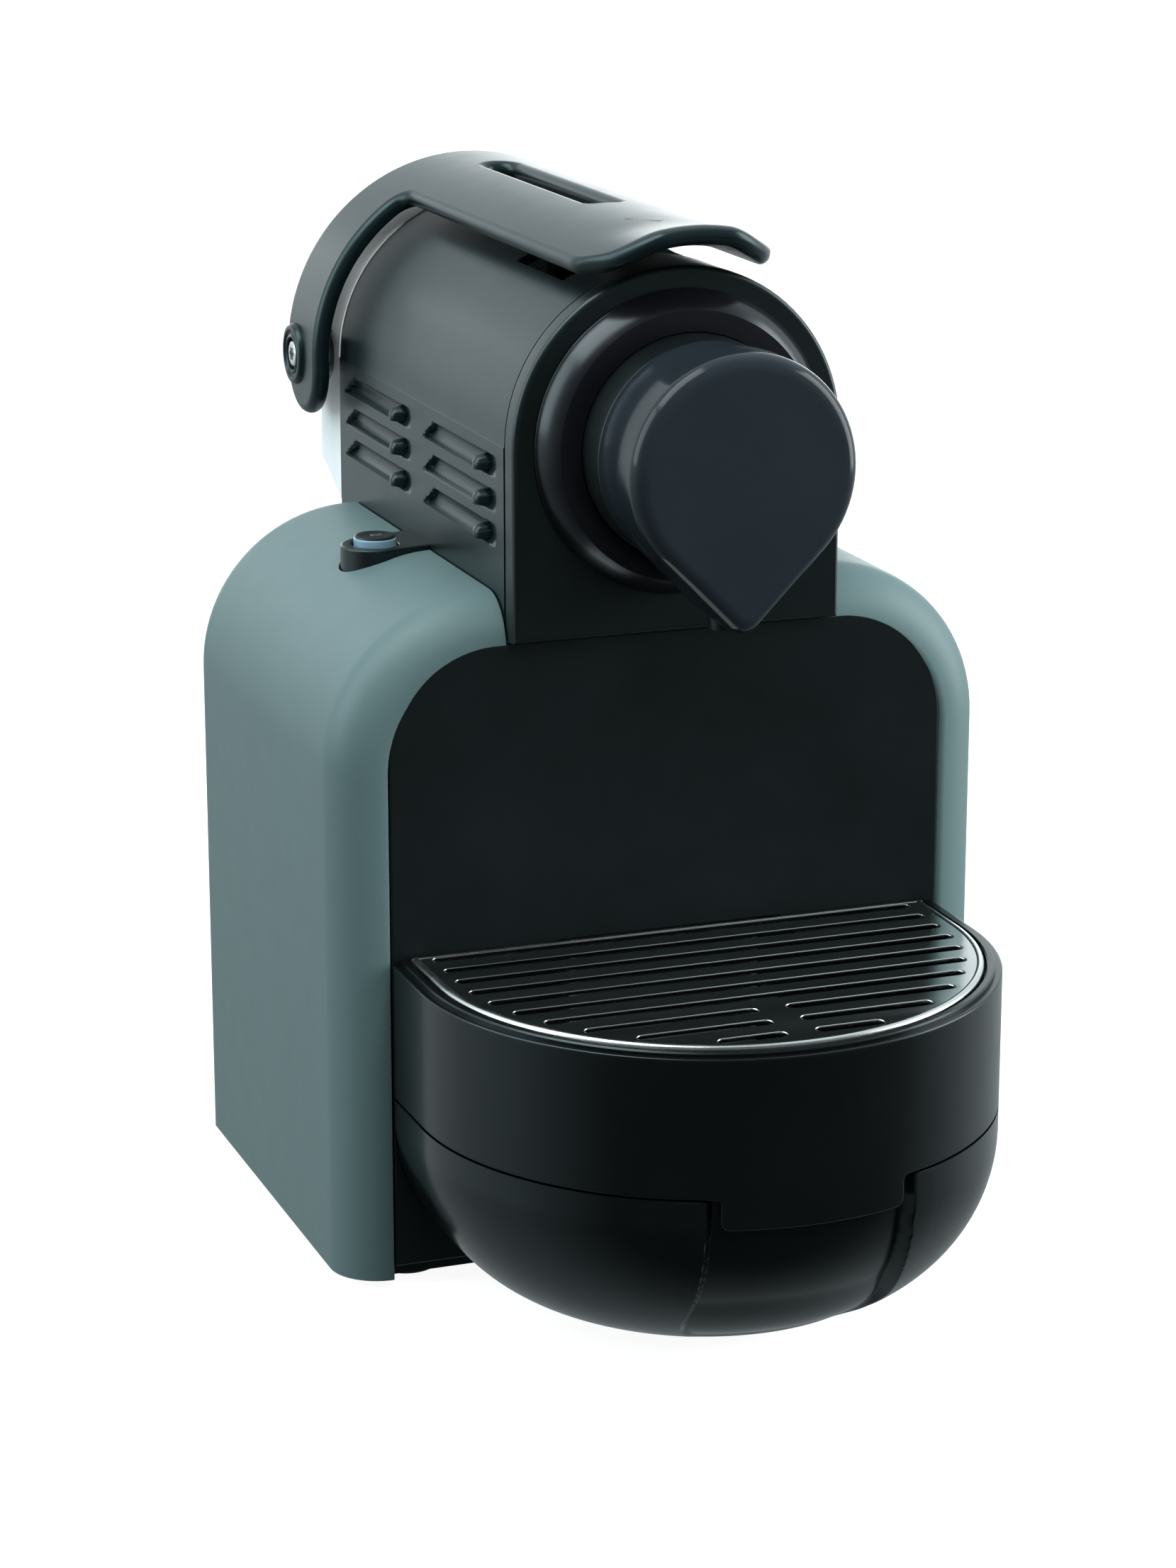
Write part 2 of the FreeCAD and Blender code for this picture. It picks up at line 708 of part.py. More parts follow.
def pin_in_carriage(turn):
    """Where the crank's pin is, in the carriage's own frame, when the lever has turned."""
    swing = math.radians(turn)
    radius = D.crank_radius.value
    slide = D.cage_travel.value * turn / D.lever_lift.value
    y = D.pivot_depth.value - radius * math.cos(swing) - slide
    z = D.pivot_height.value + radius * math.sin(swing)
    return V(0, y, z)


def cam_slot(half_width):
    """The path of the crank's pin through the carriage, as a flat band with round ends."""
    steps = 12
    first = -4.0
    step = (D.lever_lift.value + 8.0) / steps
    middle = [pin_in_carriage(first + step * number) for number in range(steps + 1)]
    left = []
    right = []
    for number, point in enumerate(middle):
        before = middle[max(number - 1, 0)]
        after = middle[min(number + 1, steps)]
        along = (after - before).normalize()
        normal = V(0, -along.z, along.y)
        left.append(point + normal * half_width)
        right.append(point - normal * half_width)
    start = (middle[1] - middle[0]).normalize()
    end = (middle[-1] - middle[-2]).normalize()
    sides = []
    for points in (left, right):
        curve = Part.BSplineCurve()
        curve.interpolate(points)
        sides.append(curve.toShape())
    caps = [Part.Arc(left[-1], middle[-1] + end * half_width, right[-1]).toShape(),
            Part.Arc(right[0], middle[0] - start * half_width, left[0]).toShape()]
    return Part.Face(Part.Wire(Part.__sortEdges__(sides + caps)))


def carriage():
    """Two side plates behind the cage; the crank's pin pushes them along through cam slots."""
    slot = cam_slot(D.crank_pin.value + 0.4)
    solids = []
    for side in (-1, 1):
        left = 13.5 * side - 1.5
        outline = Part.makePolygon([V(left, 7.2, 190), V(left, 70, 190), V(left, 88.2, 190),
                                    V(left, 88.2, 233), V(left, 68, 233), V(left, 52, 214),
                                    V(left, 7.2, 209), V(left, 7.2, 190)])
        plate = Part.Face(outline).extrude(V(3, 0, 0))
        cutter = slot.translated(V(left - 1, 0, 0)).extrude(V(5, 0, 0))
        solids.append(plate.cut(cutter))
    tie = Part.makeBox(30, 3, 18, V(-15, 7.1, 190.5))
    inlet = Part.makeCylinder(3.2, 5, V(0, 6.5, D.head_axis.value), V(0, 1, 0))
    body = tie.cut(inlet)
    for solid in solids:
        body = body.fuse(solid)
    return shaped("cage_carriage", body.removeSplitter())


def add_crank():
    """Crank arms on two stub shafts, joined by the pin that drives the carriage."""
    pin_y = D.pivot_depth - D.crank_radius
    parts = [rod("crank_cross_pin", "x", (-19.6, pin_y, D.pivot_height), 39.2, D.crank_pin)]
    for side in (-1, 1):
        inner = 16.6 if side > 0 else -19.6
        tag = "left" if side < 0 else "right"
        arm = prism("crank_arm_" + tag, "yz", inner, inner + 3.0,
                    rectangle((pin_y, D.pivot_depth), (D.pivot_height - 3.5, D.pivot_height + 3.5)))
        hub = rod("crank_hub_" + tag, "x", (inner, D.pivot_depth, D.pivot_height), 3, 7)
        eye = rod("crank_eye_" + tag, "x", (inner, pin_y, D.pivot_height), 3, 4.2)
        stub = rod("crank_stub_" + tag, "x", (19.5 if side > 0 else -43.4, D.pivot_depth,
                                             D.pivot_height), 23.9, 5)
        thread = rod("crank_thread_" + tag, "x", (36 if side > 0 else -44, D.pivot_depth,
                                                 D.pivot_height), 8, 1.6)
        parts += [arm, hub, eye, cut("crank_shaft_" + tag, stub, thread)]
    node(joined("lever_crank", *parts))

    bushes = []
    for side in (-1, 1):
        start = -40.15 if side < 0 else 22.5
        outside = rod("bush_body_%d" % side, "x", (start, D.pivot_depth, D.pivot_height), 17.65, 7.0)
        inside = rod("bush_hole_%d" % side, "x", (start - 1, D.pivot_depth, D.pivot_height), 22, 5.06)
        bushes.append(cut("pivot_bush_%s" % ("left" if side < 0 else "right"), outside, inside))
    node(group("pivot_bushes", *bushes))


# ---------------------------------------------------------------- lever

def add_lever():
    """A bowed shell on two arms, rounded and turned up at its front edge."""
    wrap = math.radians(D.lever_wrap.value)
    outer_x, outer_z = D.lever_outer * math.sin(wrap), D.head_axis + D.lever_outer * math.cos(wrap)
    inner_x, inner_z = D.lever_inner * math.sin(wrap), D.head_axis + D.lever_inner * math.cos(wrap)
    fillet = D.lever_fillet
    foot = (D.arm_rear - D.arm_front) / 2
    foot_height = D.pivot_height - 2
    top = prism("lever_top", "xz", D.lever_front, D.arm_rear, [
        (outer_x, outer_z), (-outer_x, outer_z, D.lever_outer),
        (-inner_x, inner_z), (inner_x, inner_z, D.lever_inner, "right")])
    lip = prism("lever_lip", "xz", D.lever_front, D.lever_front + 13, [
        (-19, 239), (-10, 243.5), (10, 243.5), (19, 239), (21, 242.2), (15, 246.6),
        (10, D.lever_lip_top - 0.7), (4, D.lever_lip_top), (-4, D.lever_lip_top),
        (-10, D.lever_lip_top - 0.7), (-15, 246.6), (-21, 242.2)])
    corner = D.lever_corner
    plan = prism("lever_plan", "xy", 220, 260, [
        (outer_x, D.arm_rear), (-outer_x, D.arm_rear), (-outer_x, D.lever_front + corner),
        (corner - outer_x, D.lever_front, corner), (outer_x - corner, D.lever_front),
        (outer_x, D.lever_front + corner, corner)])
    bow = prism("lever_bow", "xz", D.arm_front - fillet, D.arm_rear, [
        (D.lever_outer, 180), (D.lever_outer, D.head_axis),
        (0, D.head_axis + D.lever_outer, D.lever_outer),
        (-D.lever_outer, D.head_axis, D.lever_outer), (-D.lever_outer, 180),
        (-D.lever_inner, 180), (-D.lever_inner, D.head_axis),
        (0, D.head_axis + D.lever_inner, D.lever_inner, "right"),
        (D.lever_inner, D.head_axis, D.lever_inner, "right"), (D.lever_inner, 180)])
    side = prism("lever_side", "yz", -60, 60, [
        (D.arm_front, foot_height), (D.arm_front + foot, foot_height - foot, foot),
        (D.arm_rear, foot_height, foot), (D.arm_rear, 252), (D.arm_front - fillet, 252),
        (D.arm_front - fillet, outer_z), (D.arm_front, outer_z - fillet, fillet, "right")])
    hand_slot = prism("lever_hand_slot", "xy", 230, 260,
                      [(-3.7, 14), (3.7, 14), (3.7, 88), (0, 91.7, 3.7), (-3.7, 88, 3.7)])
    crown = joined("lever_crown", top, lip)
    crown.Refine = False
    crown = overlap("lever_crown_cut", crown, plan)
    arms = overlap("lever_arms", bow, side)
    bosses = []
    tools = [hand_slot]
    for sign, tag in ((-1, "left"), (1, "right")):
        outside = D.lever_outer + 1.2
        start = -outside if sign < 0 else D.lever_inner - 0.5
        bosses.append(rod("lever_boss_" + tag, "x", (start, D.pivot_depth, D.pivot_height),
                          outside - D.lever_inner + 0.5, 7.8))
        tools.append(rod("lever_sink_" + tag, "x", (start if sign < 0 else outside - 2.2,
                                                    D.pivot_depth, D.pivot_height), 2.2, 4.1))
        tools.append(rod("lever_hole_" + tag, "x", (-50 if sign < 0 else 40, D.pivot_depth,
                                                    D.pivot_height), 10, 1.75))
    body = crown
    for number, addition in enumerate([arms] + bosses, start=1):
        body = joined("lever_stage_%d" % number, body, addition)
        body.Refine = False
    node(cut("lever", body, *tools))

    screws = []
    for sign, tag in ((-1, "left"), (1, "right")):
        outer = D.lever_outer + 0.9
        head_start = -outer if sign < 0 else outer - 1.8
        shank_start = -outer + 1.7 if sign < 0 else 38
        head = rod("pivot_head_" + tag, "x", (head_start, D.pivot_depth, D.pivot_height), 1.8, 3.4)
        shank = rod("pivot_shank_" + tag, "x", (shank_start, D.pivot_depth, D.pivot_height),
                    outer - 39.6, 1.5)
        star = rod("pivot_star_" + tag, "x", (-outer if sign < 0 else outer - 1.1,
                                              D.pivot_depth, D.pivot_height), 1.1, 1.7)
        screws.append(cut("pivot_screw_" + tag, joined("pivot_solid_" + tag, head, shank), star))
    node(group("pivot_screws", *screws))


# ---------------------------------------------------------------- shoulder buttons

def add_buttons():
    """A pad on each shoulder with a lit round button: small cup at the left, large at the right."""
    pad = prism("pad_solid", "xy", D.pad_top - 9, D.pad_top, pad_outline(size(0)),
                ["circle", -D.button_place, D.button_depth, D.button_radius + 0.35])
    socket = prism("pad_socket", "xy", D.pad_top - 9, D.pad_top - 7,
                   ["circle", -D.button_place, D.button_depth, D.button_radius + 1],
                   ["circle", -D.button_place, D.button_depth, 2.2])
    left = joined("left_button_pad", pad, socket)
    node(left)
    node(mirrored("right_button_pad", left))
    centre = (-D.button_place, D.button_depth, 0)
    cap = turned("button_cap", "z", centre, [
        (0, D.pad_top - 9.4), (1.9, D.pad_top - 9.4), (1.9, D.pad_top - 3), (4.3, D.pad_top - 3),
        (4.3, D.pad_top + 2.2), (0, D.pad_top + 2.2)])
    ring = turned("button_ring", "z", centre, [
        (4.32, D.pad_top - 2.4), (D.button_radius, D.pad_top - 2.4),
        (D.button_radius, D.pad_top + 1.7), (4.32, D.pad_top + 1.7)])
    node(cap, "espresso_button")
    node(ring, "espresso_light_ring")
    node(mirrored("lungo_button", cap))
    node(mirrored("lungo_light_ring", ring))
    switches = []
    boards = []
    for side in (-1, 1):
        x = D.button_place * side
        body = block("switch_body_%d" % (side + 1), (x - 3, x + 3),
                     (D.button_depth - 3, D.button_depth + 3), (D.pad_top - 16.5, D.pad_top - 12.5))
        tip = rod("switch_tip_%d" % (side + 1), "z", (x, D.button_depth, D.pad_top - 12.6), 1.0, 1.7)
        switches.append(joined("button_switch_%d" % (side + 1), body, tip))
        boards.append(block("switch_board_%d" % (side + 1), (x - 9, x + 9),
                            (D.button_depth - 8, D.button_depth + 8),
                            (D.pad_top - 18.1, D.pad_top - 16.55)))
    node(group("button_switches", *switches))
    node(group("button_boards", *boards))


# ---------------------------------------------------------------- cup tray

def bowl_solid(name, inset):
    """The bowl's outer form, or a smaller copy of it, with a rounded bottom edge."""
    inset = size(inset)
    radius = D.tray_radius - inset
    rounding = D.bowl_round - inset
    floor = D.foot_height + inset
    top = D.seam_height + (0 if inset.value == 0 else 5)
    flat = radius - rounding
    body = turned(name, "z", (0, TRAY_CENTRE, 0),
                  [(0, floor), (flat, floor), (radius, floor + rounding, rounding),
                   (radius, top), (0, top)])
    back = D.panel_plane - 0.5 - inset
    prism(name + "_straight", "xz", TRAY_CENTRE, back, [
        (flat, floor), (radius, floor + rounding, rounding), (radius, top),
        (-radius, top), (-radius, floor + rounding), (-flat, floor, rounding)], body=body)
    front = block(name + "_front", (-HALF_WIDTH, HALF_WIDTH), (-HALF_DEPTH - 5, back),
                  (-5, D.seam_height + 10))
    return overlap(name + "_form", body, front)


def add_drip_bowl():
    """The lower bowl; its front has a finger recess that keeps the wall's thickness."""
    outer = bowl_solid("bowl_outer", 0)
    inner = bowl_solid("bowl_inner", D.wall)
    recess_floor = bowl_solid("bowl_recess_floor", 3.2)
    recess_back = bowl_solid("bowl_recess_back", 5.6)
    window = prism("recess_window", "xz", -HALF_DEPTH - 5, -80,
                   rounded_rectangle((-24.5, 24.5), (D.foot_height + 15.5, D.seam_height + 9), 6))
    frame = prism("recess_frame", "xz", -HALF_DEPTH - 5, -80,
                  rectangle((-27, 27), (D.foot_height + 12.5, D.seam_height - 0.05)))
    shell = cut("bowl_shell", outer, inner)
    block_form = bowl_solid("bowl_backing", 0)
    backing = overlap("recess_backing", cut("recess_block", block_form, recess_back), frame)
    notch = overlap("recess_notch", cut("recess_skin", bowl_solid("bowl_skin", 0), recess_floor), window)
    rim_notch = prism("rim_notch", "xz", -HALF_DEPTH - 5, -(HALF_DEPTH - 3.2),
                      rectangle((-24.5, 24.5), (D.seam_height - 3, D.seam_height + 3)))
    node(cut("drip_bowl", joined("bowl_with_backing", shell, backing), notch, rim_notch))


def add_capsule_container():
    back = D.panel_plane - 0.6
    low = D.seam_height + 0.4
    floor = prism("container_floor", "xy", low, low + 2.5, bow_outline(D.tray_radius, back))
    wall = prism("container_wall", "xy", low, D.rim_height, bow_outline(D.tray_radius, back),
                 bow_outline(D.tray_radius - D.wall, back - 2.2))
    ledge = prism("container_ledge", "xy", D.rim_height - 2.4, D.grid_height - 0.6,
                  bow_outline(D.tray_radius - 1.6, back), bow_outline(D.tray_radius - 3.6, back - 2.2))
    shelf = prism("container_shelf", "xy", D.rim_height - 6, D.rim_height - 2.4,
                  bow_outline(D.tray_radius - 2.4, back - 0.5),
                  bow_outline(D.tray_radius - 6, back - 4.4))
    mouth = block("container_mouth", (-31, 31), (back - 6, back + 1), (low + 3.6, D.grid_height + 3))
    tab = overlap("container_tab",
                  prism("tab_ring", "xy", low - 7.2, low + 0.1, bow_outline(D.tray_radius, back),
                        bow_outline(D.tray_radius - 2.8, back - 2)),
                  prism("tab_window", "xz", -HALF_DEPTH - 5, -80,
                        rounded_rectangle((-22, 22), (low - 7.2, low + 8), 2)))
    solid = joined("container_solid", floor, wall, ledge, shelf, tab)
    seat = block("grid_seat", (-(D.tray_radius - 3.9), D.tray_radius - 3.9), (back - 4.6, back + 1),
                 (D.rim_height - 2.4, D.grid_height + 3))
    node(cut("capsule_container", solid, mouth, seat))


def add_drip_grid():
    """The steel grid: a plate with a rolled rim and rows of slots, split near the front."""
    back = D.panel_plane - 1.2
    radius = D.tray_radius - 4.2
    top = D.grid_height
    plate = prism("grid_plate", "xy", top - 1.2, top, bow_outline(radius, back))
    rim = prism("grid_rim", "xy", top - 3.9, top, bow_outline(radius, back),
                bow_outline(radius - 1.2, back - 1.2))
    slots = []
    half_slot = D.slot_width / 2
    for row in range(10):
        depth = D.panel_plane.value - 4.2 - D.slot_pitch.value * row
        beyond = max(TRAY_CENTRE.value - depth, 0.0)
        reach = math.sqrt((radius.value - 3.4) ** 2 - beyond ** 2)
        reach = min(reach, 61.5) - 1.0
        spans = [(-reach, reach)] if row < 7 else [(-reach, -3.4), (3.4, reach)]
        for number, (low, high) in enumerate(spans):
            slots.append(prism("grid_slot_%d%s" % (row, "ab"[number]), "xy", top - 3, top + 1,
                               slot_outline(low, high, depth, half_slot)))
    node(cut("drip_grid", joined("grid_blank", plate, rim), *slots))


def slot_outline(low, high, depth, half):
    """A straight slot along x with rounded ends."""
    low, high, depth = size(low) + half, size(high) - half, size(depth)
    return [(high, depth - half), (high + half, depth, half), (high, depth + half, half),
            (low, depth + half), (low - half, depth, half), (low, depth - half, half)]


# ---------------------------------------------------------------- water tank

def tank_form(name, inset, top_cut):
    inset = size(inset)
    half = D.tank_half - inset
    outline = arch_outline(half, D.tank_floor + inset, D.tank_top - top_cut,
                           D.tank_shoulder - inset)
    return prism(name, "xz", D.tank_front + inset, HALF_DEPTH - inset, outline)


def add_water_tank():
    rear = HALF_DEPTH.value
    side = D.tank_half.value
    outer = rounded_edges("tank_rounded", tank_form("tank_outer", 0, 0), 12.0,
                          lambda edge: at(edge, "y", rear) and not at(edge, "z", D.tank_floor))
    inner = rounded_edges("tank_hollow_rounded", tank_form("tank_hollow", D.tank_wall, D.tank_wall), 10.0,
                          lambda edge: at(edge, "y", rear - D.tank_wall.value)
                          and not at(edge, "z", D.tank_floor.value + D.tank_wall.value))
    mouth = block("tank_mouth", (-26, 26), (D.tank_front + 6, HALF_DEPTH - 13),
                  (D.tank_top - 12, D.tank_top + 5))
    spigot = turned("tank_spigot", "y", (0, 0, 24), [
        (D.tank_front - 8, 3.4), (D.tank_front - 6, 3.4), (D.tank_front - 6, 4.6),
        (D.tank_front + 10, 4.6), (D.tank_front + 10, 6.2), (D.tank_front - 8, 6.2)])
    bore = rod("tank_spigot_bore", "y", (0, D.tank_front - 6, 24), 16, 4.6)
    rails = []
    for sign in (-1, 1):
        inner_x = 27.6 if sign > 0 else -29.4
        rails.append(block("lid_rail_%d" % (sign + 1), (inner_x, inner_x + 1.8),
                           (D.tank_front + 3, HALF_DEPTH - 12.5), (D.tank_top - 0.5, D.tank_top + 2)))
    shell = cut("tank_shell", outer, inner, mouth, bore)
    node(joined("water_tank", shell, spigot, *rails))
    lid = block("lid_plate", (-27.3, 27.3), (D.tank_front + 3, HALF_DEPTH - 4),
                (D.tank_top + 0.3, D.tank_top + 2.1))
    grip = block("lid_grip", (-15, 15), (HALF_DEPTH - 8, HALF_DEPTH - 4.5),
                 (D.tank_top + 2, D.tank_top + 6))
    node(joined("tank_lid", lid, grip))

    poppet = turned("valve_poppet", "y", (0, 0, 24), [
        (D.tank_front - 7.6, 0), (D.tank_front - 7.6, 1.6), (D.tank_front - 5.9, 1.6),
        (D.tank_front - 5.9, 4.0), (D.tank_front - 3.9, 4.0), (D.tank_front - 3.9, 1.4),
        (D.tank_front + 6, 1.4), (D.tank_front + 6, 0)])
    node(poppet)
    turns = 5
    pitch = 1.9
    spine = Part.makeHelix(pitch, pitch * turns, 3.1)
    section = Part.Wire([Part.makeCircle(0.35, V(3.1, 0, 0), V(0, 1, 0))])
    coil = Part.Wire(spine).makePipeShell([section], True, True)
    spring = shaped("valve_spring", coil)
    spring.Placement = FreeCAD.Placement(V(0, D.tank_front.value - 3.4, 24),
                                         FreeCAD.Rotation(V(1, 0, 0), -90))
    node(spring)


def add_tank_seat():
    """The ledge that the tank stands on and the socket that its outlet plugs into."""
    half = D.tank_half + 1
    ledge = prism("cradle_ledge", "xy", D.foot_height, D.foot_height + 8,
                  rounded_rectangle((-half, half), (D.cover_rear + 0.05, HALF_DEPTH - 1), 8))
    hollow = prism("cradle_hollow", "xy", D.foot_height - 1, D.foot_height + 5.6,
                   rounded_rectangle((-half + 2.4, half - 2.4), (D.cover_rear + 2.4, HALF_DEPTH - 3.4), 6))
    tongue = block("cradle_tongue", (-40, 40), (D.cover_rear - 8, D.cover_rear + 2),
                   (D.foot_height + 3.05, D.foot_height + 5.05))
    feet = []
    for side in (-1, 1):
        feet.append(rod("cradle_foot_%d" % (side + 1), "z", (52.0 * side, 108, 0), D.foot_height + 6, 6))
    node(joined("tank_cradle", cut("cradle_shell", ledge, hollow), tongue, *feet))
    front = D.cover_rear
    node(turned("tank_socket", "y", (0, 0, 24), [
        (front - 24, 1.6), (front - 11, 1.6), (front - 11, 6.35), (front + 0.6, 6.35),
        (front + 0.6, 11), (front + 0.05, 11), (front + 0.05, 8.9), (front - 13, 8.9),
        (front - 13, 3.2), (front - 24, 3.2)]))
    node(turned("socket_pin", "y", (0, 0, 24), [
        (front - 11, 0), (front - 11, 0.9), (front - 7.0, 0.9), (front - 7.0, 0)]), "valve_pin")


# ---------------------------------------------------------------- capsule chute and works

def add_capsule_chute():
    """The walls that lead a used capsule down and forward into the container."""
    side = prism("chute_outer", "yz", -24, 24, [
        (-26.4, D.seam_height + 1), (-26.4, 173), (20, 173), (20, 100), (-4, D.seam_height + 1)])
    inner = prism("chute_inner", "yz", -22.4, 22.4, [
        (-24.8, D.seam_height + 2.6), (-24.8, 175), (18.4, 175), (18.4, 100.4),
        (-4.9, D.seam_height + 2.6)])
    mouth = block("chute_mouth", (-22.4, 22.4), (-30, -24), (D.seam_height + 2.6, D.grid_height - 2))
    node(cut("capsule_chute", side, inner, mouth))


def pipe(name, points, radius, bore, bend):
    """A hose along straight runs joined by arcs of one bend radius."""
    corners = [V(*point) for point in points]
    edges = []
    start = corners[0]
    for before, corner, after in zip(corners, corners[1:], corners[2:]):
        back = (before - corner).normalize()
        ahead = (after - corner).normalize()
        turn = math.pi - back.getAngle(ahead)
        reach = bend * math.tan(turn / 2)
        bisector = (back + ahead).normalize()
        middle = corner + bisector * (bend / math.cos(turn / 2) - bend)
        edges.append(Part.LineSegment(start, corner + back * reach).toShape())
        edges.append(Part.Arc(corner + back * reach, middle, corner + ahead * reach).toShape())
        start = corner + ahead * reach
    edges.append(Part.LineSegment(start, corners[-1]).toShape())
    spine = Part.Wire(edges)
    along = (corners[1] - corners[0]).normalize()
    solids = []
    for size_of_ring in (radius, bore):
        ring = Part.Wire([Part.makeCircle(size_of_ring, corners[0], along)])
        solids.append(spine.makePipeShell([ring], True, False))
    return shaped(name, solids[0].cut(solids[1]))


def add_works():
    """Pump, heater, flow meter, board and the hoses between them."""
    coil = block("pump_coil", (-70, -36), (6, 40), (9, 43))
    barrel = rod("pump_barrel", "y", (-53, -8, 26), 66, 10)
    inlet = rod("pump_inlet", "y", (-53, 57.9, 26), 8, 3)
    outlet = rod("pump_outlet", "y", (-53, -14, 26), 6.5, 4.5)
    node(joined("water_pump", coil, barrel, inlet, outlet))
    mounts = []
    for depth in (-2, 48):
        ring = prism("mount_ring_%d" % depth, "xz", depth, depth + 5,
                     rectangle((-66, -40), (5.05, 38)), ["circle", -53, 26, 10.06])
        mounts.append(ring)
    node(group("pump_mounts", *mounts))

    heater = block("heater_block", (-34, 34), (34, 74), (104, 148))
    channel = rod("heater_channel", "x", (-46, 46, 137), 92, 3.4)
    element = rod("heater_element", "x", (-42, 62, 113), 84, 4)
    node(joined("thermoblock", heater, channel, element))
    cutouts = []
    for x in (-16, 14):
        cutouts.append(rod("cutout_%d" % x, "z", (x, 54, 148.05), 4, 6.5))
    node(group("thermal_cutouts", *cutouts))
    meter = rod("meter_body", "z", (0, 46, 14), 20, 13)
    meter_in = rod("meter_in", "y", (0, 58, 24), 2.9, 3)
    meter_out = rod("meter_out", "x", (-17, 46, 19), 6, 2.6)
    node(joined("flow_meter", meter, meter_in, meter_out))
    board = block("board_plate", (72.6, 74.2), (-8, 66), (22, 112))
    parts = [board]
    for number, (depth, height, reach, tall) in enumerate([(4, 34, 14, 16), (30, 40, 18, 20),
                                                           (8, 84, 10, 14), (44, 90, 12, 12)]):
        parts.append(block("board_part_%d" % number, (72.7 - reach, 72.7), (depth, depth + 14),
                           (height, height + tall)))
    node(joined("control_board", *parts))
    node(pipe("suction_hose", [(-17.1, 46, 19), (-34, 46, 19), (-34, 77, 22),
                               (-53, 77, 26), (-53, 66, 26)], 3.0, 1.6, 6))
    node(pipe("pressure_hose", [(-53, -14.1, 26), (-53, -22, 26), (-72, -22, 34), (-72, 2, 60),
                                (-72, 46, 137), (-46.1, 46, 137)], 2.6, 1.4, 7))
    node(pipe("brew_hose", [(46.1, 46, 137), (58, 46, 137), (58, 78, 146), (28, 78, 146),
                            (28, 78, 172)], 2.6, 1.4, 7))


# ---------------------------------------------------------------- build, check and write

add_side_covers()
add_front_panel()
add_base()
add_rear_panel()
add_power_switch()
add_head_cover()
add_rear_hood()
add_bezel_and_nose()
add_brewing_unit()
add_crank()
add_lever()
add_buttons()
add_drip_bowl()
add_capsule_container()
add_drip_grid()
add_water_tank()
add_tank_seat()
add_capsule_chute()
add_works()
doc.recompute()

faults = ["%s is %s" % (thing.Name, thing.State) for thing in doc.Objects
          if "Invalid" in thing.State or "Error" in thing.State]
for name, thing in nodes.items():
    if thing.Shape.isNull() or not thing.Shape.isValid() or not thing.Shape.Solids:
        faults.append(name + " has no valid solid")
if faults:
    raise RuntimeError("; ".join(faults))
for name, thing in nodes.items():
    thing.Shape.exportStep("parts/%s.step" % name)
whole = FreeCAD.BoundBox()
for thing in nodes.values():
    whole.add(thing.Shape.BoundBox)
print(len(nodes), "parts;", "x %.2f %.2f, y %.2f %.2f, z %.2f %.2f" % (
    whole.XMin, whole.XMax, whole.YMin, whole.YMax, whole.ZMin, whole.ZMax))
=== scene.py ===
import json
import math
from math import copysign, cos, hypot, pi, radians, sin, sqrt

import bmesh
import bpy
from mathutils import Matrix, Vector


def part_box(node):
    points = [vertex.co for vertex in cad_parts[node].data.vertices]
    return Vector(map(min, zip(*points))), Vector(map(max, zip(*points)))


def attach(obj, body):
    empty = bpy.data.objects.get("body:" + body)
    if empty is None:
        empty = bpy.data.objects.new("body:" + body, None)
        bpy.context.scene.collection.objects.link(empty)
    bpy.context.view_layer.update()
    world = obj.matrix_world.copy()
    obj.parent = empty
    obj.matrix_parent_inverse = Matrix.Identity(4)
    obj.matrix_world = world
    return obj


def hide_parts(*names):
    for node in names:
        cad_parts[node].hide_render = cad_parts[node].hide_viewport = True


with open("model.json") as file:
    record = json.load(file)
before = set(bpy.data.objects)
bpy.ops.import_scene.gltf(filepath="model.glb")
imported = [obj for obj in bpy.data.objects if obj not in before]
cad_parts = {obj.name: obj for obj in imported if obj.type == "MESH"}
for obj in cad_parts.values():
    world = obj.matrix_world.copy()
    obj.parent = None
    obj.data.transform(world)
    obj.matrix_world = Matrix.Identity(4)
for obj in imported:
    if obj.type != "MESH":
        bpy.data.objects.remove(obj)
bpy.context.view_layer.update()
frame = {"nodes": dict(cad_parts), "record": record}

MM = 0.001


# ---------------------------------------------------------------- sizes read from the frame

class Span:
    """A CAD node's box in millimetres."""

    def __init__(self, node):
        low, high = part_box(node)
        self.left, self.front, self.bottom = (value / MM for value in low)
        self.right, self.rear, self.top = (value / MM for value in high)


COVER = Span("left_side_cover")
PANEL = Span("front_panel")
HEAD = Span("head_cover")
HOOD = Span("rear_hood")
BEZEL = Span("head_bezel")
RING = Span("dished_ring")
NECK = Span("nose_neck")
NOSE = Span("nose_cover")
LEVER = Span("lever")
SCREWS = Span("pivot_screws")
PAD = Span("left_button_pad")
BUTTON = Span("espresso_button")
LIGHT = Span("espresso_light_ring")
BOWL = Span("drip_bowl")
BOX = Span("capsule_container")
GRID = Span("drip_grid")
TANK = Span("water_tank")

HALF = -COVER.left  # half the body's width
SHOULDER = 39.0  # outer radius of the body's shoulders
FRONT_ROUND = 12.0  # rounding of the covers' front edge
ARCH_STEPS = 24  # facets of one shoulder
HEAD_HALF = (BEZEL.right - BEZEL.left) / 2
AXIS = (RING.top + RING.bottom) / 2  # height of the head's axis
PIVOT_Y = (SCREWS.front + SCREWS.rear) / 2
PIVOT_Z = (SCREWS.top + SCREWS.bottom) / 2
TRAY = (BOX.right - BOX.left) / 2  # radius of the round tray
TRAY_Y = BOX.front + TRAY  # its centre
NECK_R = (NECK.right - NECK.left) / 2
LIGHT_R = (LIGHT.right - LIGHT.left) / 2
BUTTON_X = (BUTTON.left + BUTTON.right) / 2
BUTTON_Y = (BUTTON.front + BUTTON.rear) / 2
ON_AXIS = 0.01  # smallest radius in a turned profile


# ---------------------------------------------------------------- curves and outlines (millimetres)

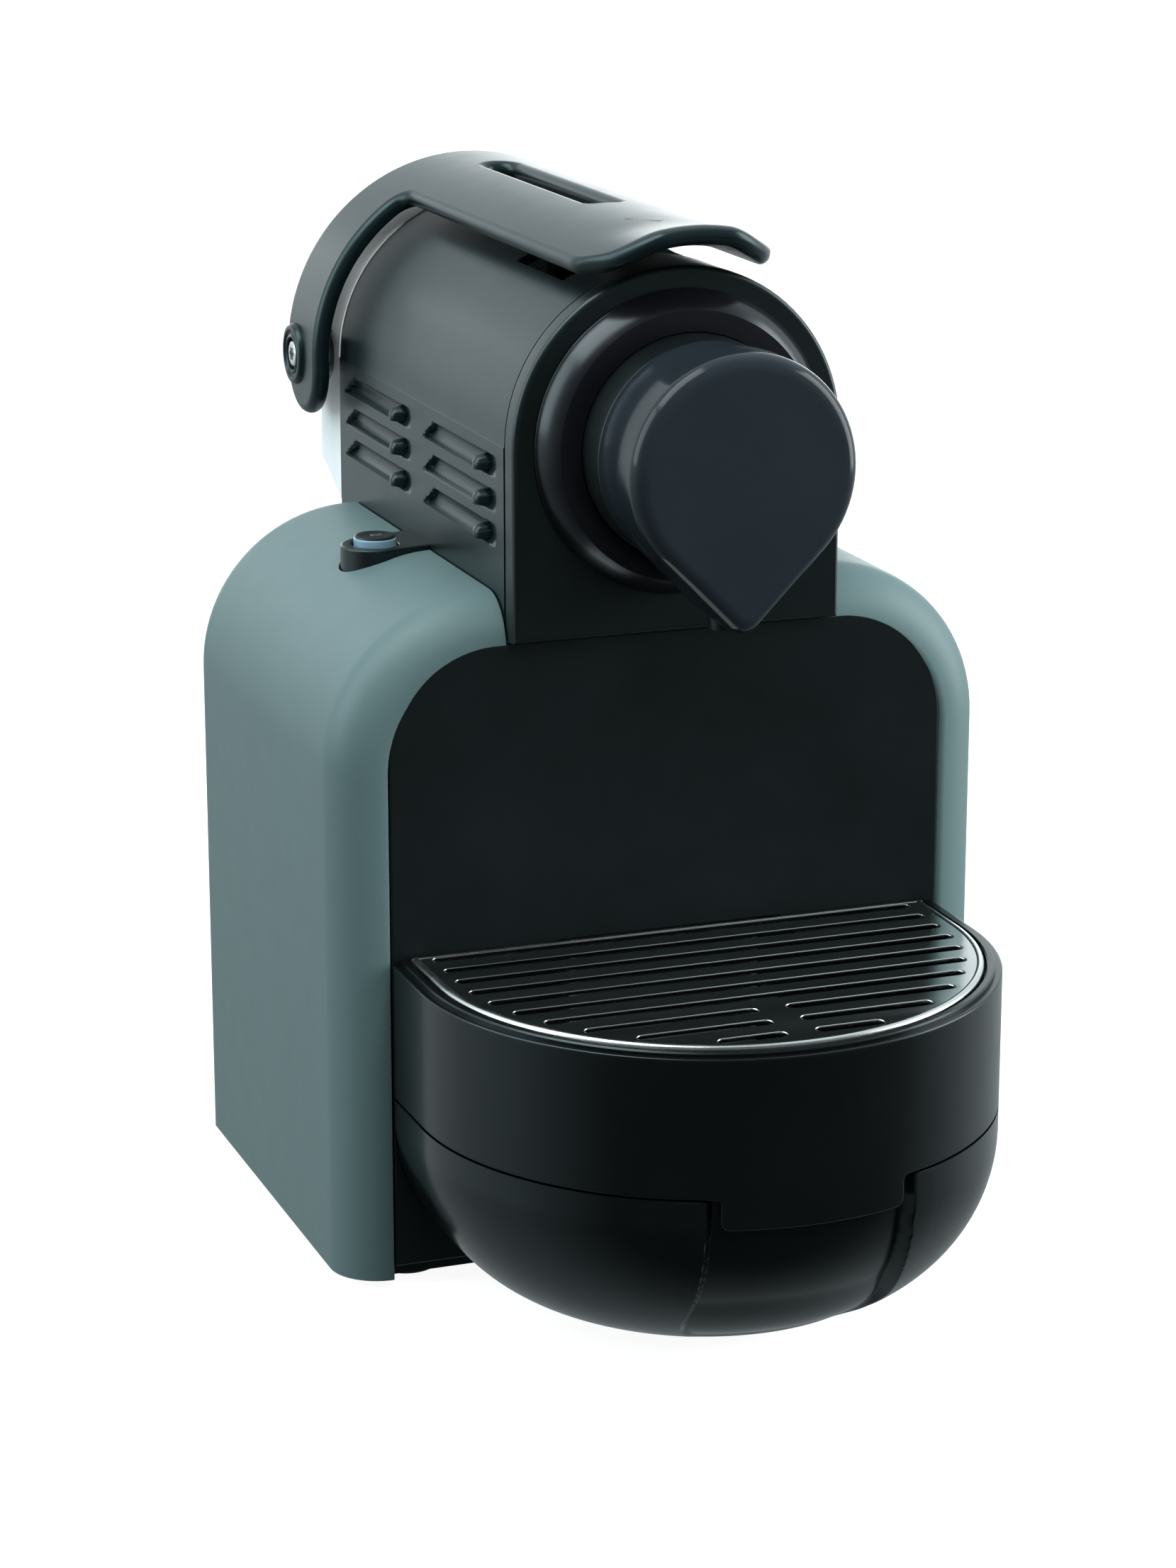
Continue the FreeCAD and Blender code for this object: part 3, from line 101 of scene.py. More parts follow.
def arc(cx, cy, radius, first, last, steps=12):
    """Points on a circle between two angles in degrees, both ends included."""
    turn = [radians(first + (last - first) * i / steps) for i in range(steps + 1)]
    return [(cx + radius * cos(a), cy + radius * sin(a)) for a in turn]


def rounded(corners, steps=8):
    """A line through (x, y, radius) corners, each corner turned into an arc."""
    points = []
    count = len(corners)
    for i, (x, y, radius) in enumerate(corners):
        if radius <= 0:
            points.append((x, y))
            continue
        here = Vector((x, y))
        back = (Vector(corners[i - 1][:2]) - here).normalized()
        ahead = (Vector(corners[(i + 1) % count][:2]) - here).normalized()
        half = back.angle(ahead) / 2
        centre = here + (back + ahead).normalized() * (radius / sin(half))
        start = here + back * (radius / math.tan(half)) - centre
        finish = here + ahead * (radius / math.tan(half)) - centre
        swing = start.angle_signed(finish)
        for step in range(steps + 1):
            turn = -swing * step / steps
            c, s = cos(turn), sin(turn)
            points.append((centre.x + start.x * c - start.y * s, centre.y + start.x * s + start.y * c))
    return points


def evenly(points, spacing, closed=False):
    """The same line with points about every spacing millimetres, corners kept."""
    out = []
    line = list(points) + ([points[0]] if closed else [])
    for a, b in zip(line, line[1:]):
        length = math.dist(a, b)
        pieces = max(1, round(length / spacing))
        for i in range(pieces):
            t = i / pieces
            out.append(tuple(p + (q - p) * t for p, q in zip(a, b)))
    if not closed:
        out.append(tuple(line[-1]))
    return out


def box_line(left, low, right, high, radius=0, steps=8):
    """A rectangle with round corners."""
    corners = [(left, low), (right, low), (right, high), (left, high)]
    return rounded([(x, y, radius) for x, y in corners], steps)


def smooth(t):
    """Eases from 0 to 1 as t goes from 0 to 1."""
    t = min(max(t, 0.0), 1.0)
    return t * t * (3 - 2 * t)


def arch_line(half, bottom, top, radius):
    """Left foot, left shoulder, right shoulder, right foot of an upright arch."""
    return ([(-half, bottom)] + arc(radius - half, top - radius, radius, 180, 90, ARCH_STEPS)
            + arc(half - radius, top - radius, radius, 90, 0, ARCH_STEPS) + [(half, bottom)])


def tunnel_line(radius, bottom):
    """The head's outline: upright sides under a half circle about its axis."""
    return [(-radius, bottom)] + arc(0, AXIS, radius, 180, 0, 48) + [(radius, bottom)]


def bow_line(radius, back):
    """The tray's plan from the left rear corner round the front to the right rear corner."""
    return [(-radius, back)] + arc(0, TRAY_Y, radius, 180, 360, 64) + [(radius, back)]


def circle(cx, cy, radius, steps):
    return arc(cx, cy, radius, 0, 360, steps)[:-1]


# ---------------------------------------------------------------- mesh helpers

def link(piece):
    bpy.context.scene.collection.objects.link(piece)


def new_object(name, vertices, faces, finish=None):
    """A mesh object from points in millimetres."""
    mesh = bpy.data.meshes.new(name)
    mesh.from_pydata([Vector(v) * MM for v in vertices], [], faces)
    mesh.validate()
    piece = bpy.data.objects.new(name, mesh)
    link(piece)
    tidy_mesh(piece)
    if finish:
        mesh.materials.append(FINISH[finish])
    return piece


def tidy_mesh(piece, merge=1e-6):
    """Joins doubled points, drops loose ones and points every face outward."""
    work = bmesh.new()
    work.from_mesh(piece.data)
    bmesh.ops.remove_doubles(work, verts=work.verts, dist=merge)
    loose = [v for v in work.verts if not v.link_faces]
    bmesh.ops.delete(work, geom=loose, context="VERTS")
    bmesh.ops.recalc_face_normals(work, faces=work.faces)
    work.to_mesh(piece.data)
    work.free()


def apply_modifiers(piece):
    """Bakes the modifiers into the mesh."""
    graph = bpy.context.evaluated_depsgraph_get()
    graph.update()
    mesh = bpy.data.meshes.new_from_object(piece.evaluated_get(graph))
    piece.modifiers.clear()
    old = piece.data
    piece.data = mesh
    mesh.name = piece.name
    if old.users == 0:
        bpy.data.meshes.remove(old)
    return piece


def soften(piece, width, segments, angle, shade):
    """Rounds the edges sharper than the angle by width millimetres and shades the piece smooth."""
    bevel = piece.modifiers.new("Rounding", "BEVEL")
    bevel.width = width * MM
    bevel.segments = segments
    bevel.limit_method = "ANGLE"
    bevel.angle_limit = radians(angle)
    bevel.harden_normals = False
    apply_modifiers(piece)
    return shade_smooth(piece, shade)


def shade_smooth(piece, angle):
    """Smooth shading with edges sharper than the angle kept crisp, weighted by face size."""
    mesh = piece.data
    mesh.polygons.foreach_set("use_smooth", [True] * len(mesh.polygons))
    work = bmesh.new()
    work.from_mesh(mesh)
    limit = radians(angle)
    for edge in work.edges:
        edge.smooth = len(edge.link_faces) == 2 and edge.calc_face_angle(0) < limit
    work.to_mesh(mesh)
    work.free()
    weight = piece.modifiers.new("Weighted", "WEIGHTED_NORMAL")
    weight.keep_sharp = True
    weight.weight = 60
    apply_modifiers(piece)
    return piece


def thicken(piece, thickness):
    """Gives a sheet a thickness in millimetres, inwards."""
    solid = piece.modifiers.new("Thickness", "SOLIDIFY")
    solid.thickness = thickness * MM
    solid.offset = -1.0
    solid.use_even_offset = True
    apply_modifiers(piece)
    return piece


def joined(name, *pieces):
    """One object from several."""
    work = bmesh.new()
    materials = []
    for piece in pieces:
        start = len(work.faces)
        work.from_mesh(piece.data)
        work.faces.ensure_lookup_table()
        index = 0
        if piece.data.materials:
            material = piece.data.materials[0]
            if material not in materials:
                materials.append(material)
            index = materials.index(material)
        for face in work.faces[start:]:
            face.material_index = index
    mesh = bpy.data.meshes.new(name)
    work.to_mesh(mesh)
    work.free()
    for material in materials:
        mesh.materials.append(material)
    for piece in pieces:
        bpy.data.objects.remove(piece)
    whole = bpy.data.objects.new(name, mesh)
    link(whole)
    return whole


def rows_mesh(name, rows, finish=None, closed_rows=False, closed_columns=False, caps=False):
    """A skin through rows of points, all rows as long as each other."""
    count = len(rows[0])
    vertices = [point for row in rows for point in row]
    faces = []
    row_pairs = len(rows) if closed_rows else len(rows) - 1
    column_pairs = count if closed_columns else count - 1
    for r in range(row_pairs):
        for c in range(column_pairs):
            a = r * count + c
            b = r * count + (c + 1) % count
            d = ((r + 1) % len(rows)) * count + c
            e = ((r + 1) % len(rows)) * count + (c + 1) % count
            faces.append((a, b, e, d))
    if caps:
        faces.append(tuple(range(count)))
        last = (len(rows) - 1) * count
        faces.append(tuple(range(last, last + count)))
    return new_object(name, vertices, faces, finish)


def lathe(name, profile, centre, axis, steps, finish=None, shade=None):
    """A turned piece. The profile is a closed line of (along, radius) points."""
    rows = []
    for i in range(steps):
        turn = 2 * pi * i / steps
        c, s = cos(turn), sin(turn)
        row = []
        for along, radius in profile:
            if axis == "y":
                row.append((centre[0] + radius * c, centre[1] + along, centre[2] + radius * s))
            elif axis == "x":
                row.append((centre[0] + along, centre[1] + radius * c, centre[2] + radius * s))
            else:
                row.append((centre[0] + radius * c, centre[1] + radius * s, centre[2] + along))
        rows.append(row)
    piece = rows_mesh(name, rows, finish, closed_rows=True, closed_columns=True)
    return shade_smooth(piece, shade) if shade else piece


def plate(name, loops, low, high, axis, edge, finish=None, steps=3):
    """A flat plate from closed outlines, the first one outside and the rest holes, between
    two stations along the axis, with its edges rounded."""
    curve = bpy.data.curves.new(name, "CURVE")
    curve.dimensions = "2D"
    curve.fill_mode = "BOTH"
    for loop in loops:
        spline = curve.splines.new("POLY")
        spline.points.add(len(loop) - 1)
        for point, (x, y) in zip(spline.points, loop):
            point.co = (x * MM, y * MM, 0, 1)
        spline.use_cyclic_u = True
    curve.offset = -edge * MM
    curve.extrude = ((high - low) / 2 - edge) * MM
    curve.bevel_depth = edge * MM
    curve.bevel_resolution = steps
    holder = bpy.data.objects.new(name + "_curve", curve)
    link(holder)
    graph = bpy.context.evaluated_depsgraph_get()
    graph.update()
    mesh = bpy.data.meshes.new_from_object(holder.evaluated_get(graph))
    bpy.data.objects.remove(holder)
    middle = (low + high) / 2 * MM
    if axis == "y":
        turn = Matrix(((1, 0, 0, 0), (0, 0, -1, middle), (0, 1, 0, 0), (0, 0, 0, 1)))
    elif axis == "x":
        turn = Matrix(((0, 0, 1, middle), (1, 0, 0, 0), (0, 1, 0, 0), (0, 0, 0, 1)))
    else:
        turn = Matrix.Translation((0, 0, middle))
    mesh.transform(turn)
    mesh.materials.clear()
    piece = bpy.data.objects.new(name, mesh)
    mesh.name = name
    link(piece)
    tidy_mesh(piece, 2e-6)
    if finish:
        mesh.materials.append(FINISH[finish])
    return shade_smooth(piece, 30)


def inside(loop, x, y):
    """True when the point lies in the closed loop."""
    hit = False
    for (x1, y1), (x2, y2) in zip(loop, loop[1:] + loop[:1]):
        if (y1 > y) != (y2 > y) and x < (x2 - x1) * (y - y1) / (y2 - y1) + x1:
            hit = not hit
    return hit


def nearest_on(loops, x, y):
    """The closest point of the outlines to (x, y)."""
    best = None
    for loop in loops:
        for (x1, y1), (x2, y2) in zip(loop, loop[1:] + loop[:1]):
            dx, dy = x2 - x1, y2 - y1
            length = dx * dx + dy * dy
            t = 0 if length == 0 else min(max(((x - x1) * dx + (y - y1) * dy) / length, 0), 1)
            px, py = x1 + dx * t, y1 + dy * t
            gap = (px - x) ** 2 + (py - y) ** 2
            if best is None or gap < best[0]:
                best = (gap, px, py)
    return best


def sheet(name, loops, cell, place, finish):
    """A skin of small quads that fills the outlines and is laid in space by place(u, v).
    Its border points are pulled onto the outlines."""
    xs = [p[0] for p in loops[0]]
    ys = [p[1] for p in loops[0]]
    columns = max(2, round((max(xs) - min(xs)) / cell))
    rows = max(2, round((max(ys) - min(ys)) / cell))
    dx = (max(xs) - min(xs)) / columns
    dy = (max(ys) - min(ys)) / rows

    def covered(c, r):
        x = min(xs) + (c + 0.5) * dx
        y = min(ys) + (r + 0.5) * dy
        return inside(loops[0], x, y) and not any(inside(hole, x, y) for hole in loops[1:])

    cells = [(c, r) for c in range(columns) for r in range(rows) if covered(c, r)]
    used = {}
    faces = []
    share = {}
    for c, r in cells:
        corners = [(c, r), (c + 1, r), (c + 1, r + 1), (c, r + 1)]
        for corner in corners:
            used.setdefault(corner, len(used))
            share[corner] = share.get(corner, 0) + 1
        faces.append(tuple(used[corner] for corner in corners))
    points = [None] * len(used)
    for (c, r), index in used.items():
        x = min(xs) + c * dx
        y = min(ys) + r * dy
        if share[(c, r)] < 4:
            _, x, y = nearest_on(loops, x, y)
        points[index] = (x, y)
    return new_object(name, [place(x, y) for x, y in points], faces, finish)


def inset(loop, distance):
    """A closed outline moved inwards (to its left) by distance, point by point."""
    moved = []
    for i, (x, y) in enumerate(loop):
        ahead, behind = loop[(i + 1) % len(loop)], loop[i - 1]
        dx, dy = ahead[0] - behind[0], ahead[1] - behind[1]
        length = hypot(dx, dy)
        moved.append((x - dy / length * distance, y + dx / length * distance))
    return moved


RIM_STEPS = 12
NUDGE = 0.05  # step for measuring a surface's slope


def round_rim(name, loop, wall, place, finish):
    """The full-round edge of a wall of that thickness, along a closed outline laid by place(u, v)."""
    half = wall / 2
    rows = []
    for step in range(RIM_STEPS + 1):
        turn = radians(90 - 180 * step / RIM_STEPS)
        ring = inset(loop, half * (1 - cos(turn)))
        row = []
        for u, v in ring:
            here = Vector(place(u, v))
            along = Vector(place(u + NUDGE, v)) - Vector(place(u - NUDGE, v))
            across = Vector(place(u, v + NUDGE)) - Vector(place(u, v - NUDGE))
            row.append(tuple(here - along.cross(across).normalized() * half * (1 - sin(turn))))
        rows.append(row)
    return rows_mesh(name, rows, finish, closed_columns=True)


def mirrored(name, piece):
    """A copy reflected in the middle plane."""
    mesh = piece.data.copy()
    mesh.transform(Matrix.Diagonal((-1, 1, 1, 1)))
    mesh.flip_normals()
    twin = bpy.data.objects.new(name, mesh)
    mesh.name = name
    link(twin)
    return twin


def finish_piece(piece, body, slot, *nodes):
    """Rides a finished piece on its body, in place of its CAD nodes."""
    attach(piece, body)
    if nodes:
        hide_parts(*nodes)
    return piece


# ---------------------------------------------------------------- materials

def link_noise(nodes, links, where, scale, detail, rough=0.55):
    """A noise texture at the given place."""
    texture = nodes.new("ShaderNodeTexNoise")
    texture.inputs["Scale"].default_value = scale
    texture.inputs["Detail"].default_value = detail
    texture.inputs["Roughness"].default_value = rough
    links.new(where, texture.inputs["Vector"])
    return texture


def ramp(nodes, links, source, low, high, start=0.3, end=0.7):
    """Maps a value between start and end onto the range from low to high."""
    span = nodes.new("ShaderNodeMapRange")
    span.inputs["From Min"].default_value = start
    span.inputs["From Max"].default_value = end
    span.inputs["To Min"].default_value = low
    span.inputs["To Max"].default_value = high
    links.new(source, span.inputs["Value"])
    return span.outputs["Result"]


def surface(name, colour, roughness, grain, depth, mottle, spread=0.05, stretch=(1, 1, 1), speck=0.0,
            **sockets):
    """A procedural finish. grain is the size of the texture and depth its height, both in
    millimetres; mottle is how far the colour wanders and spread how far the roughness does."""
    material = bpy.data.materials.new(name)
    material.use_nodes = True
    nodes, links = material.node_tree.nodes, material.node_tree.links
    nodes.clear()
    output = nodes.new("ShaderNodeOutputMaterial")
    shader = nodes.new("ShaderNodeBsdfPrincipled")
    links.new(shader.outputs["BSDF"], output.inputs["Surface"])
    for socket, value in sockets.items():
        shader.inputs[socket.replace("_", " ")].default_value = value

    place = nodes.new("ShaderNodeTexCoord")
    mapping = nodes.new("ShaderNodeMapping")
    mapping.inputs["Scale"].default_value = stretch
    links.new(place.outputs["Object"], mapping.inputs["Vector"])
    where = mapping.outputs["Vector"]

    cloud = link_noise(nodes, links, where, 1 / (28 * MM), 4.0)
    fine = link_noise(nodes, links, where, 1 / (grain * MM), 2.0)
    blend = nodes.new("ShaderNodeMix")
    blend.data_type = "RGBA"
    blend.inputs["A"].default_value = [value * (1 - mottle) for value in colour] + [1]
    blend.inputs["B"].default_value = [min(value * (1 + mottle), 1.0) for value in colour] + [1]
    links.new(ramp(nodes, links, cloud.outputs["Fac"], 0, 1), blend.inputs["Factor"])
    tint = blend.outputs["Result"]
    if speck:
        dots = nodes.new("ShaderNodeMix")
        dots.data_type = "RGBA"
        links.new(tint, dots.inputs["A"])
        dots.inputs["B"].default_value = [min(value * (1 + speck) + 0.004, 1.0) for value in colour] + [1]
        links.new(ramp(nodes, links, fine.outputs["Fac"], 0, 1, 0.55, 0.75), dots.inputs["Factor"])
        tint = dots.outputs["Result"]
    links.new(tint, shader.inputs["Base Color"])

    smear = link_noise(nodes, links, where, 1 / (9 * MM), 5.0, 0.6)
    links.new(ramp(nodes, links, smear.outputs["Fac"], roughness - spread, roughness + spread),
              shader.inputs["Roughness"])

    bump = nodes.new("ShaderNodeBump")
    bump.inputs["Distance"].default_value = depth * MM
    bump.inputs["Strength"].default_value = 1.0
    links.new(fine.outputs["Fac"], bump.inputs["Height"])
    links.new(bump.outputs["Normal"], shader.inputs["Normal"])
    return material


CYAN = (0.78, 0.96, 1.0, 1)  # the tint of the black plastics' reflections
SURFACES = {
    # name: colour, roughness, grain, depth, mottle, further inputs of surface()
    "cover_paint": ((0.080, 0.128, 0.131), 0.46, 0.5, 0.006, 0.015,
                    dict(spread=0.02, speck=0.05, Specular_IOR_Level=0.35)),
    "satin_black": ((0.0040, 0.0056, 0.0058), 0.33, 0.45, 0.003, 0.2,
                    dict(spread=0.03, Specular_Tint=CYAN)),
    "head_plastic": ((0.0038, 0.0078, 0.0088), 0.31, 0.28, 0.006, 0.04,
                     dict(spread=0.015, speck=0.2, Specular_IOR_Level=0.44,
                          Specular_Tint=(0.70, 0.95, 1.0, 1))),
    "gloss_black": ((0.0035, 0.0036, 0.0050), 0.24, 2.5, 0.001, 0.2,
                    dict(spread=0.02, Specular_Tint=(0.85, 0.95, 1.0, 1))),
    "nose_black": ((0.0125, 0.0170, 0.0215), 0.13, 2.5, 0.001, 0.1,
                   dict(spread=0.02, Specular_IOR_Level=0.25)),
    "tray_black": ((0.0020, 0.0026, 0.0028), 0.25, 0.45, 0.002, 0.2,
                   dict(spread=0.02, Specular_IOR_Level=0.45, Specular_Tint=CYAN)),
    "bowl_black": ((0.0020, 0.0026, 0.0028), 0.20, 1.5, 0.001, 0.2,
                   dict(spread=0.03, Specular_Tint=CYAN)),
    "hood_plastic": ((0.86, 0.89, 0.90), 0.40, 0.3, 0.006, 0.03, dict()),
    "clear_tank": ((0.86, 0.92, 0.93), 0.09, 2.5, 0.003, 0.02,
                   dict(spread=0.03, Transmission_Weight=0.85, IOR=1.45)),
    "steel": ((0.66, 0.67, 0.67), 0.17, 0.25, 0.0012, 0.05, dict(stretch=(0.06, 1, 1), Metallic=1.0)),
    "turned_steel": ((0.72, 0.73, 0.72), 0.26, 0.2, 0.003, 0.06, dict(spread=0.06, Metallic=1.0)),
    "rubber": ((0.018, 0.018, 0.018), 0.78, 0.5, 0.02, 0.2, dict()),
    "grey_plastic": ((0.12, 0.125, 0.13), 0.48, 0.3, 0.008, 0.06, dict()),
    "light_ring": ((0.22, 0.36, 0.46), 0.22, 0.9, 0.002, 0.08,
                   dict(Transmission_Weight=0.25, Subsurface_Weight=0.5, Subsurface_Scale=0.0015)),
    "aluminium": ((0.55, 0.56, 0.57), 0.42, 0.6, 0.03, 0.08, dict(Metallic=1.0)),
    "green_board": ((0.02, 0.13, 0.05), 0.4, 1.2, 0.02, 0.25, dict()),
    "silicone": ((0.62, 0.62, 0.58), 0.4, 0.6, 0.01, 0.04,
                 dict(Subsurface_Weight=0.2, Subsurface_Scale=0.002)),
    "icon_print": ((0.075, 0.09, 0.10), 0.5, 0.3, 0.004, 0.06, dict()),
    "tank_print": ((0.35, 0.37, 0.38), 0.5, 0.3, 0.004, 0.06, dict()),
    "stage_paper": ((0.30, 0.31, 0.31), 0.85, 3, 0.01, 0.01,
                    dict(Specular_IOR_Level=0.0, Emission_Color=(1, 1, 1, 1), Emission_Strength=0.93)),
}
FINISH = {name: surface(name, *row[:-1], **row[-1]) for name, row in SURFACES.items()}


# ---------------------------------------------------------------- body

COVER_WALL = 2.5
COVER_GAP = 0.35  # between the covers and the head
COVER_FOOT = 1.5  # first step up the cover's straight side
ROLL_STEPS = 14  # facets of the front edge's rounding
PANEL_GAP = 0.25  # between the covers and the panel
PAD_POCKET = (150, 172)  # heights that the button pad's pocket is cut between


def arch_normals(half, bottom, top, radius):
    """The side cover's path from its foot over the shoulder, with its outward directions."""
    low = bottom + COVER_FOOT
    line = [((-half, z), (-1.0, 0.0)) for z in (bottom, low)]
    line += [((-half, low + (top - radius - low) * i / 40), (-1.0, 0.0)) for i in range(1, 40)]
    for i in range(ARCH_STEPS + 1):
        turn = radians(180 - 90 * i / ARCH_STEPS)
        c, s = cos(turn), sin(turn)
        line.append(((radius - half + radius * c, top - radius + radius * s), (c, s)))
    return line


def roll_in(start, radius, front):
    """A quarter turn from the cover's side to its front edge, as (depth inwards, y) points."""
    points = []
    for i in range(ROLL_STEPS + 1):
        turn = radians(90 * i / ROLL_STEPS)
        points.append((start + radius * (1 - cos(turn)), front + radius * (1 - sin(turn))))
    return points


def make_side_cover():
    """The left cover: a skin over the shoulder whose front edge rolls in to the panel."""
    inner_x = -(HEAD_HALF + COVER_GAP)
    path = arch_normals(HALF, COVER.bottom, COVER.top, SHOULDER)
    last = path[-1][0][0]
    for i in range(1, 4):
        path.append(((last + (inner_x - last) * i / 3, COVER.top), (0.0, 1.0)))
    front, rear = COVER.front, COVER.rear
    straight = front + FRONT_ROUND
    profile = [(0.0, rear - 0.3), (0.0, rear - 2)]
    profile += [(0.0, straight + (rear - 4 - straight) * i / 24) for i in range(24, -1, -1)]
    profile += roll_in(0.0, FRONT_ROUND, front)[1:]
    land = FRONT_ROUND + PANEL_GAP
    profile += [(land, front + PANEL_GAP), (land, front + COVER_WALL)]
    profile += roll_in(COVER_WALL, FRONT_ROUND - COVER_WALL, front + COVER_WALL)[::-1]
    profile += [(COVER_WALL, straight + (rear - 2 - straight) * i / 6) for i in range(1, 7)]
    profile += [(COVER_WALL, rear), (0.3, rear)]
    rows = [[(x - nx * deep, y, z - nz * deep) for deep, y in profile] for (x, z), (nx, nz) in path]
    cover = rows_mesh("cover_left_skin", rows, "cover_paint", closed_columns=True, caps=True)
    pocket = plate("pad_pocket", [pad_outline(0.45)], *PAD_POCKET, "z", 0.05)
    return soften(bored(cover, pocket), 0.25, 2, 50, 50)


def bored(piece, cutter):
    """Cuts the second object out of the first."""
    cut = piece.modifiers.new("Cut", "BOOLEAN")
    cut.object = cutter
    cut.operation = "DIFFERENCE"
    cut.solver = "EXACT"
    apply_modifiers(piece)
    bpy.data.objects.remove(cutter)
    return piece


def pad_outline(gap=0.0):
    """The left pad from above: a round end and two flanks that run to the head."""
    radius = (BUTTON_X - PAD.left) + gap
    inner = -(HEAD_HALF - 1.4)
    front = PAD.front + 3.2 - gap
    return [(inner, front), (inner, PAD.rear + gap)] + arc(BUTTON_X, BUTTON_Y, radius, 98, 270, 20)


CAP_HIGH = 11.4  # height of a button's cap
CAP = [(0.0, 0.0), (0.0, 4.1), (6.0, 4.25), (10.75, 4.25), (10.8, 4.85), (10.95, 4.98), (11.2, 4.9),
       (11.38, 4.5), (11.34, 3.6), (11.22, 1.2), (11.2, 0.0)]
LIGHT_BAND = [(0.0, 4.35), (0.0, LIGHT_R - 0.2), (0.2, LIGHT_R), (3.6, LIGHT_R), (3.95, LIGHT_R - 0.12),
              (4.1, LIGHT_R - 0.4), (4.05, 4.36)]
MOUTH = (-31, 48.4, 31, 81.4, 4)  # the panel's mouth: left, bottom, right, top, corner radius


def make_body():
    left = make_side_cover()
    right = mirrored("cover_right_skin", left)
    finish_piece(left, "base", "cover_paint", "left_side_cover")
    finish_piece(right, "base", "cover_paint", "right_side_cover")

    half = (PANEL.right - PANEL.left) / 2
    outline = arch_line(half, PANEL.bottom, PANEL.top, SHOULDER - FRONT_ROUND - 0.6)
    panel = plate("front_panel_skin", [outline, box_line(*MOUTH)], PANEL.front, PANEL.rear, "y", 0.6,
                  "satin_black")
    finish_piece(panel, "base", "satin_black", "front_panel")
    make_button("left", "espresso", -1, 0.8)
    make_button("right", "lungo", 1, 1.0)


def make_button(name, key, side, icon_size):
    """A pad with its button, light ring and icon, made on the left and mirrored for the right."""
    hole = circle(BUTTON_X, BUTTON_Y, LIGHT_R + 0.35, 48)
    pad = plate(name + "_pad_skin", [pad_outline(), hole], PAD.bottom, PAD.top, "z", 0.55,
                "satin_black")
    button = lathe(name + "_button_cap", CAP, (BUTTON_X, BUTTON_Y, BUTTON.top - CAP_HIGH), "z", 64,
                   "satin_black", 30)
    ring = lathe(name + "_light_band", LIGHT_BAND, (BUTTON_X, BUTTON_Y, LIGHT.bottom), "z", 64,
                 "light_ring", 50)
    icon = cup_icon(name + "_icon", icon_size)
    if side > 0:
        for piece in (pad, button, ring):
            piece.data.transform(Matrix.Diagonal((-1, 1, 1, 1)))
            piece.data.flip_normals()
        icon.data.transform(Matrix.Translation((-2 * BUTTON_X * MM, 0, 0)))
    finish_piece(pad, "base", "satin_black", name + "_button_pad")
    finish_piece(button, key + "_key", "satin_black", key + "_button")
    finish_piece(ring, key + "_key", "light_ring", key + "_light_ring")
    finish_piece(icon, key + "_key", "satin_black")


def bucket(wide, foot, tall, edge, corner):
    """A cup's outline, narrower below."""
    return rounded([(-wide, tall, edge), (-foot, -tall, corner), (foot, -tall, corner),
                    (wide, tall, edge)], 4)


def cup_icon(name, size):
    """A generic cup with a handle, printed on the button's top."""
    high = BUTTON.top
    wide, tall = 1.5 * size, 1.7 * size
    cup = bucket(wide, wide * 0.72, tall * 0.5, 0.2, 0.4)
    cup_in = bucket(wide * 0.8, wide * 0.58, tall * 0.34, 0.1, 0.25)
    handle = arc(wide * 0.98, tall * 0.1, 0.62 * size, -80, 80, 10)
    handle += arc(wide * 0.98, tall * 0.1, 0.38 * size, 80, -80, 10)
    saucer = box_line(-wide * 1.2, -tall * 0.85, wide * 1.2, -tall * 0.68, 0.1, 3)
    shapes = []
    for loops in ([cup, cup_in], [handle], [saucer]):
        moved = [[(BUTTON_X + x, BUTTON_Y + y) for x, y in loop] for loop in loops]
        shapes.append(plate(name + "_part", moved, high - 0.2, high, "z", 0.03, "icon_print", 1))
    return joined(name, *shapes)


# ---------------------------------------------------------------- head

VENT_ROWS = (193.6, 185.55, 177.5)
VENT_REARS = (92.0, 29.0)
VENT_LENGTH = 42.0
VENT_DEEP = 1.75  # depth of a flute
VENT_HALF = 2.45  # its half height
VENT_RUN_OUT = 9.5  # how far it runs past its hood, fading out
VENT_BALL = 2.4
VENT_PROUD = 2.25  # how far the hoods may stand out of the head


def vent_depth(y, z):
    """How far the head's side is pushed in at a point: a half-round flute whose rear end is cut
    on the slant, and the small round hood that stands proud at its front end."""
    depth = 0.0
    for rear in VENT_REARS:
        along = rear - y
        if not -3 < along < VENT_LENGTH + 10:
            continue
        for height in VENT_ROWS:
            v = z - height
            if abs(v) > 3.2:
                continue
            across = 1 - ((v - 0.1) / VENT_HALF) ** 2
            start = 1.75 * v + 2.3 - 0.5 * abs(sin(2.2 * v))
            if across > 0:
                fall = min(1.0, max((VENT_LENGTH + VENT_RUN_OUT - along) / 7.5, 0.0))
                depth = VENT_DEEP * sqrt(across) * fall * smooth((along - start) / 0.8)
            ball = VENT_BALL ** 2 - (along - VENT_LENGTH) ** 2 - (v + 0.9) ** 2
            if ball > 0 and v > -2.1:
                depth = -min(sqrt(ball), VENT_PROUD)
    return depth


HEAD_WALL = 2.4
STEP_IN = 0.22  # the crown sits this far inside the straight sides
VENTS_LOW, VENTS_HIGH = 171.0, 198.3  # heights between which the sides need a fine mesh
SLOT_HALF = 20  # half width of the opening for the capsule
SLOT_FRONT, SLOT_REAR = -12, 20
RING_FACE = 12.5  # rounding of the ring's outer face
RING_FIRST, RING_LAST = 70, 38  # angles where that rounding starts and ends
RING_STEPS = 16
DISH_STEPS = 12


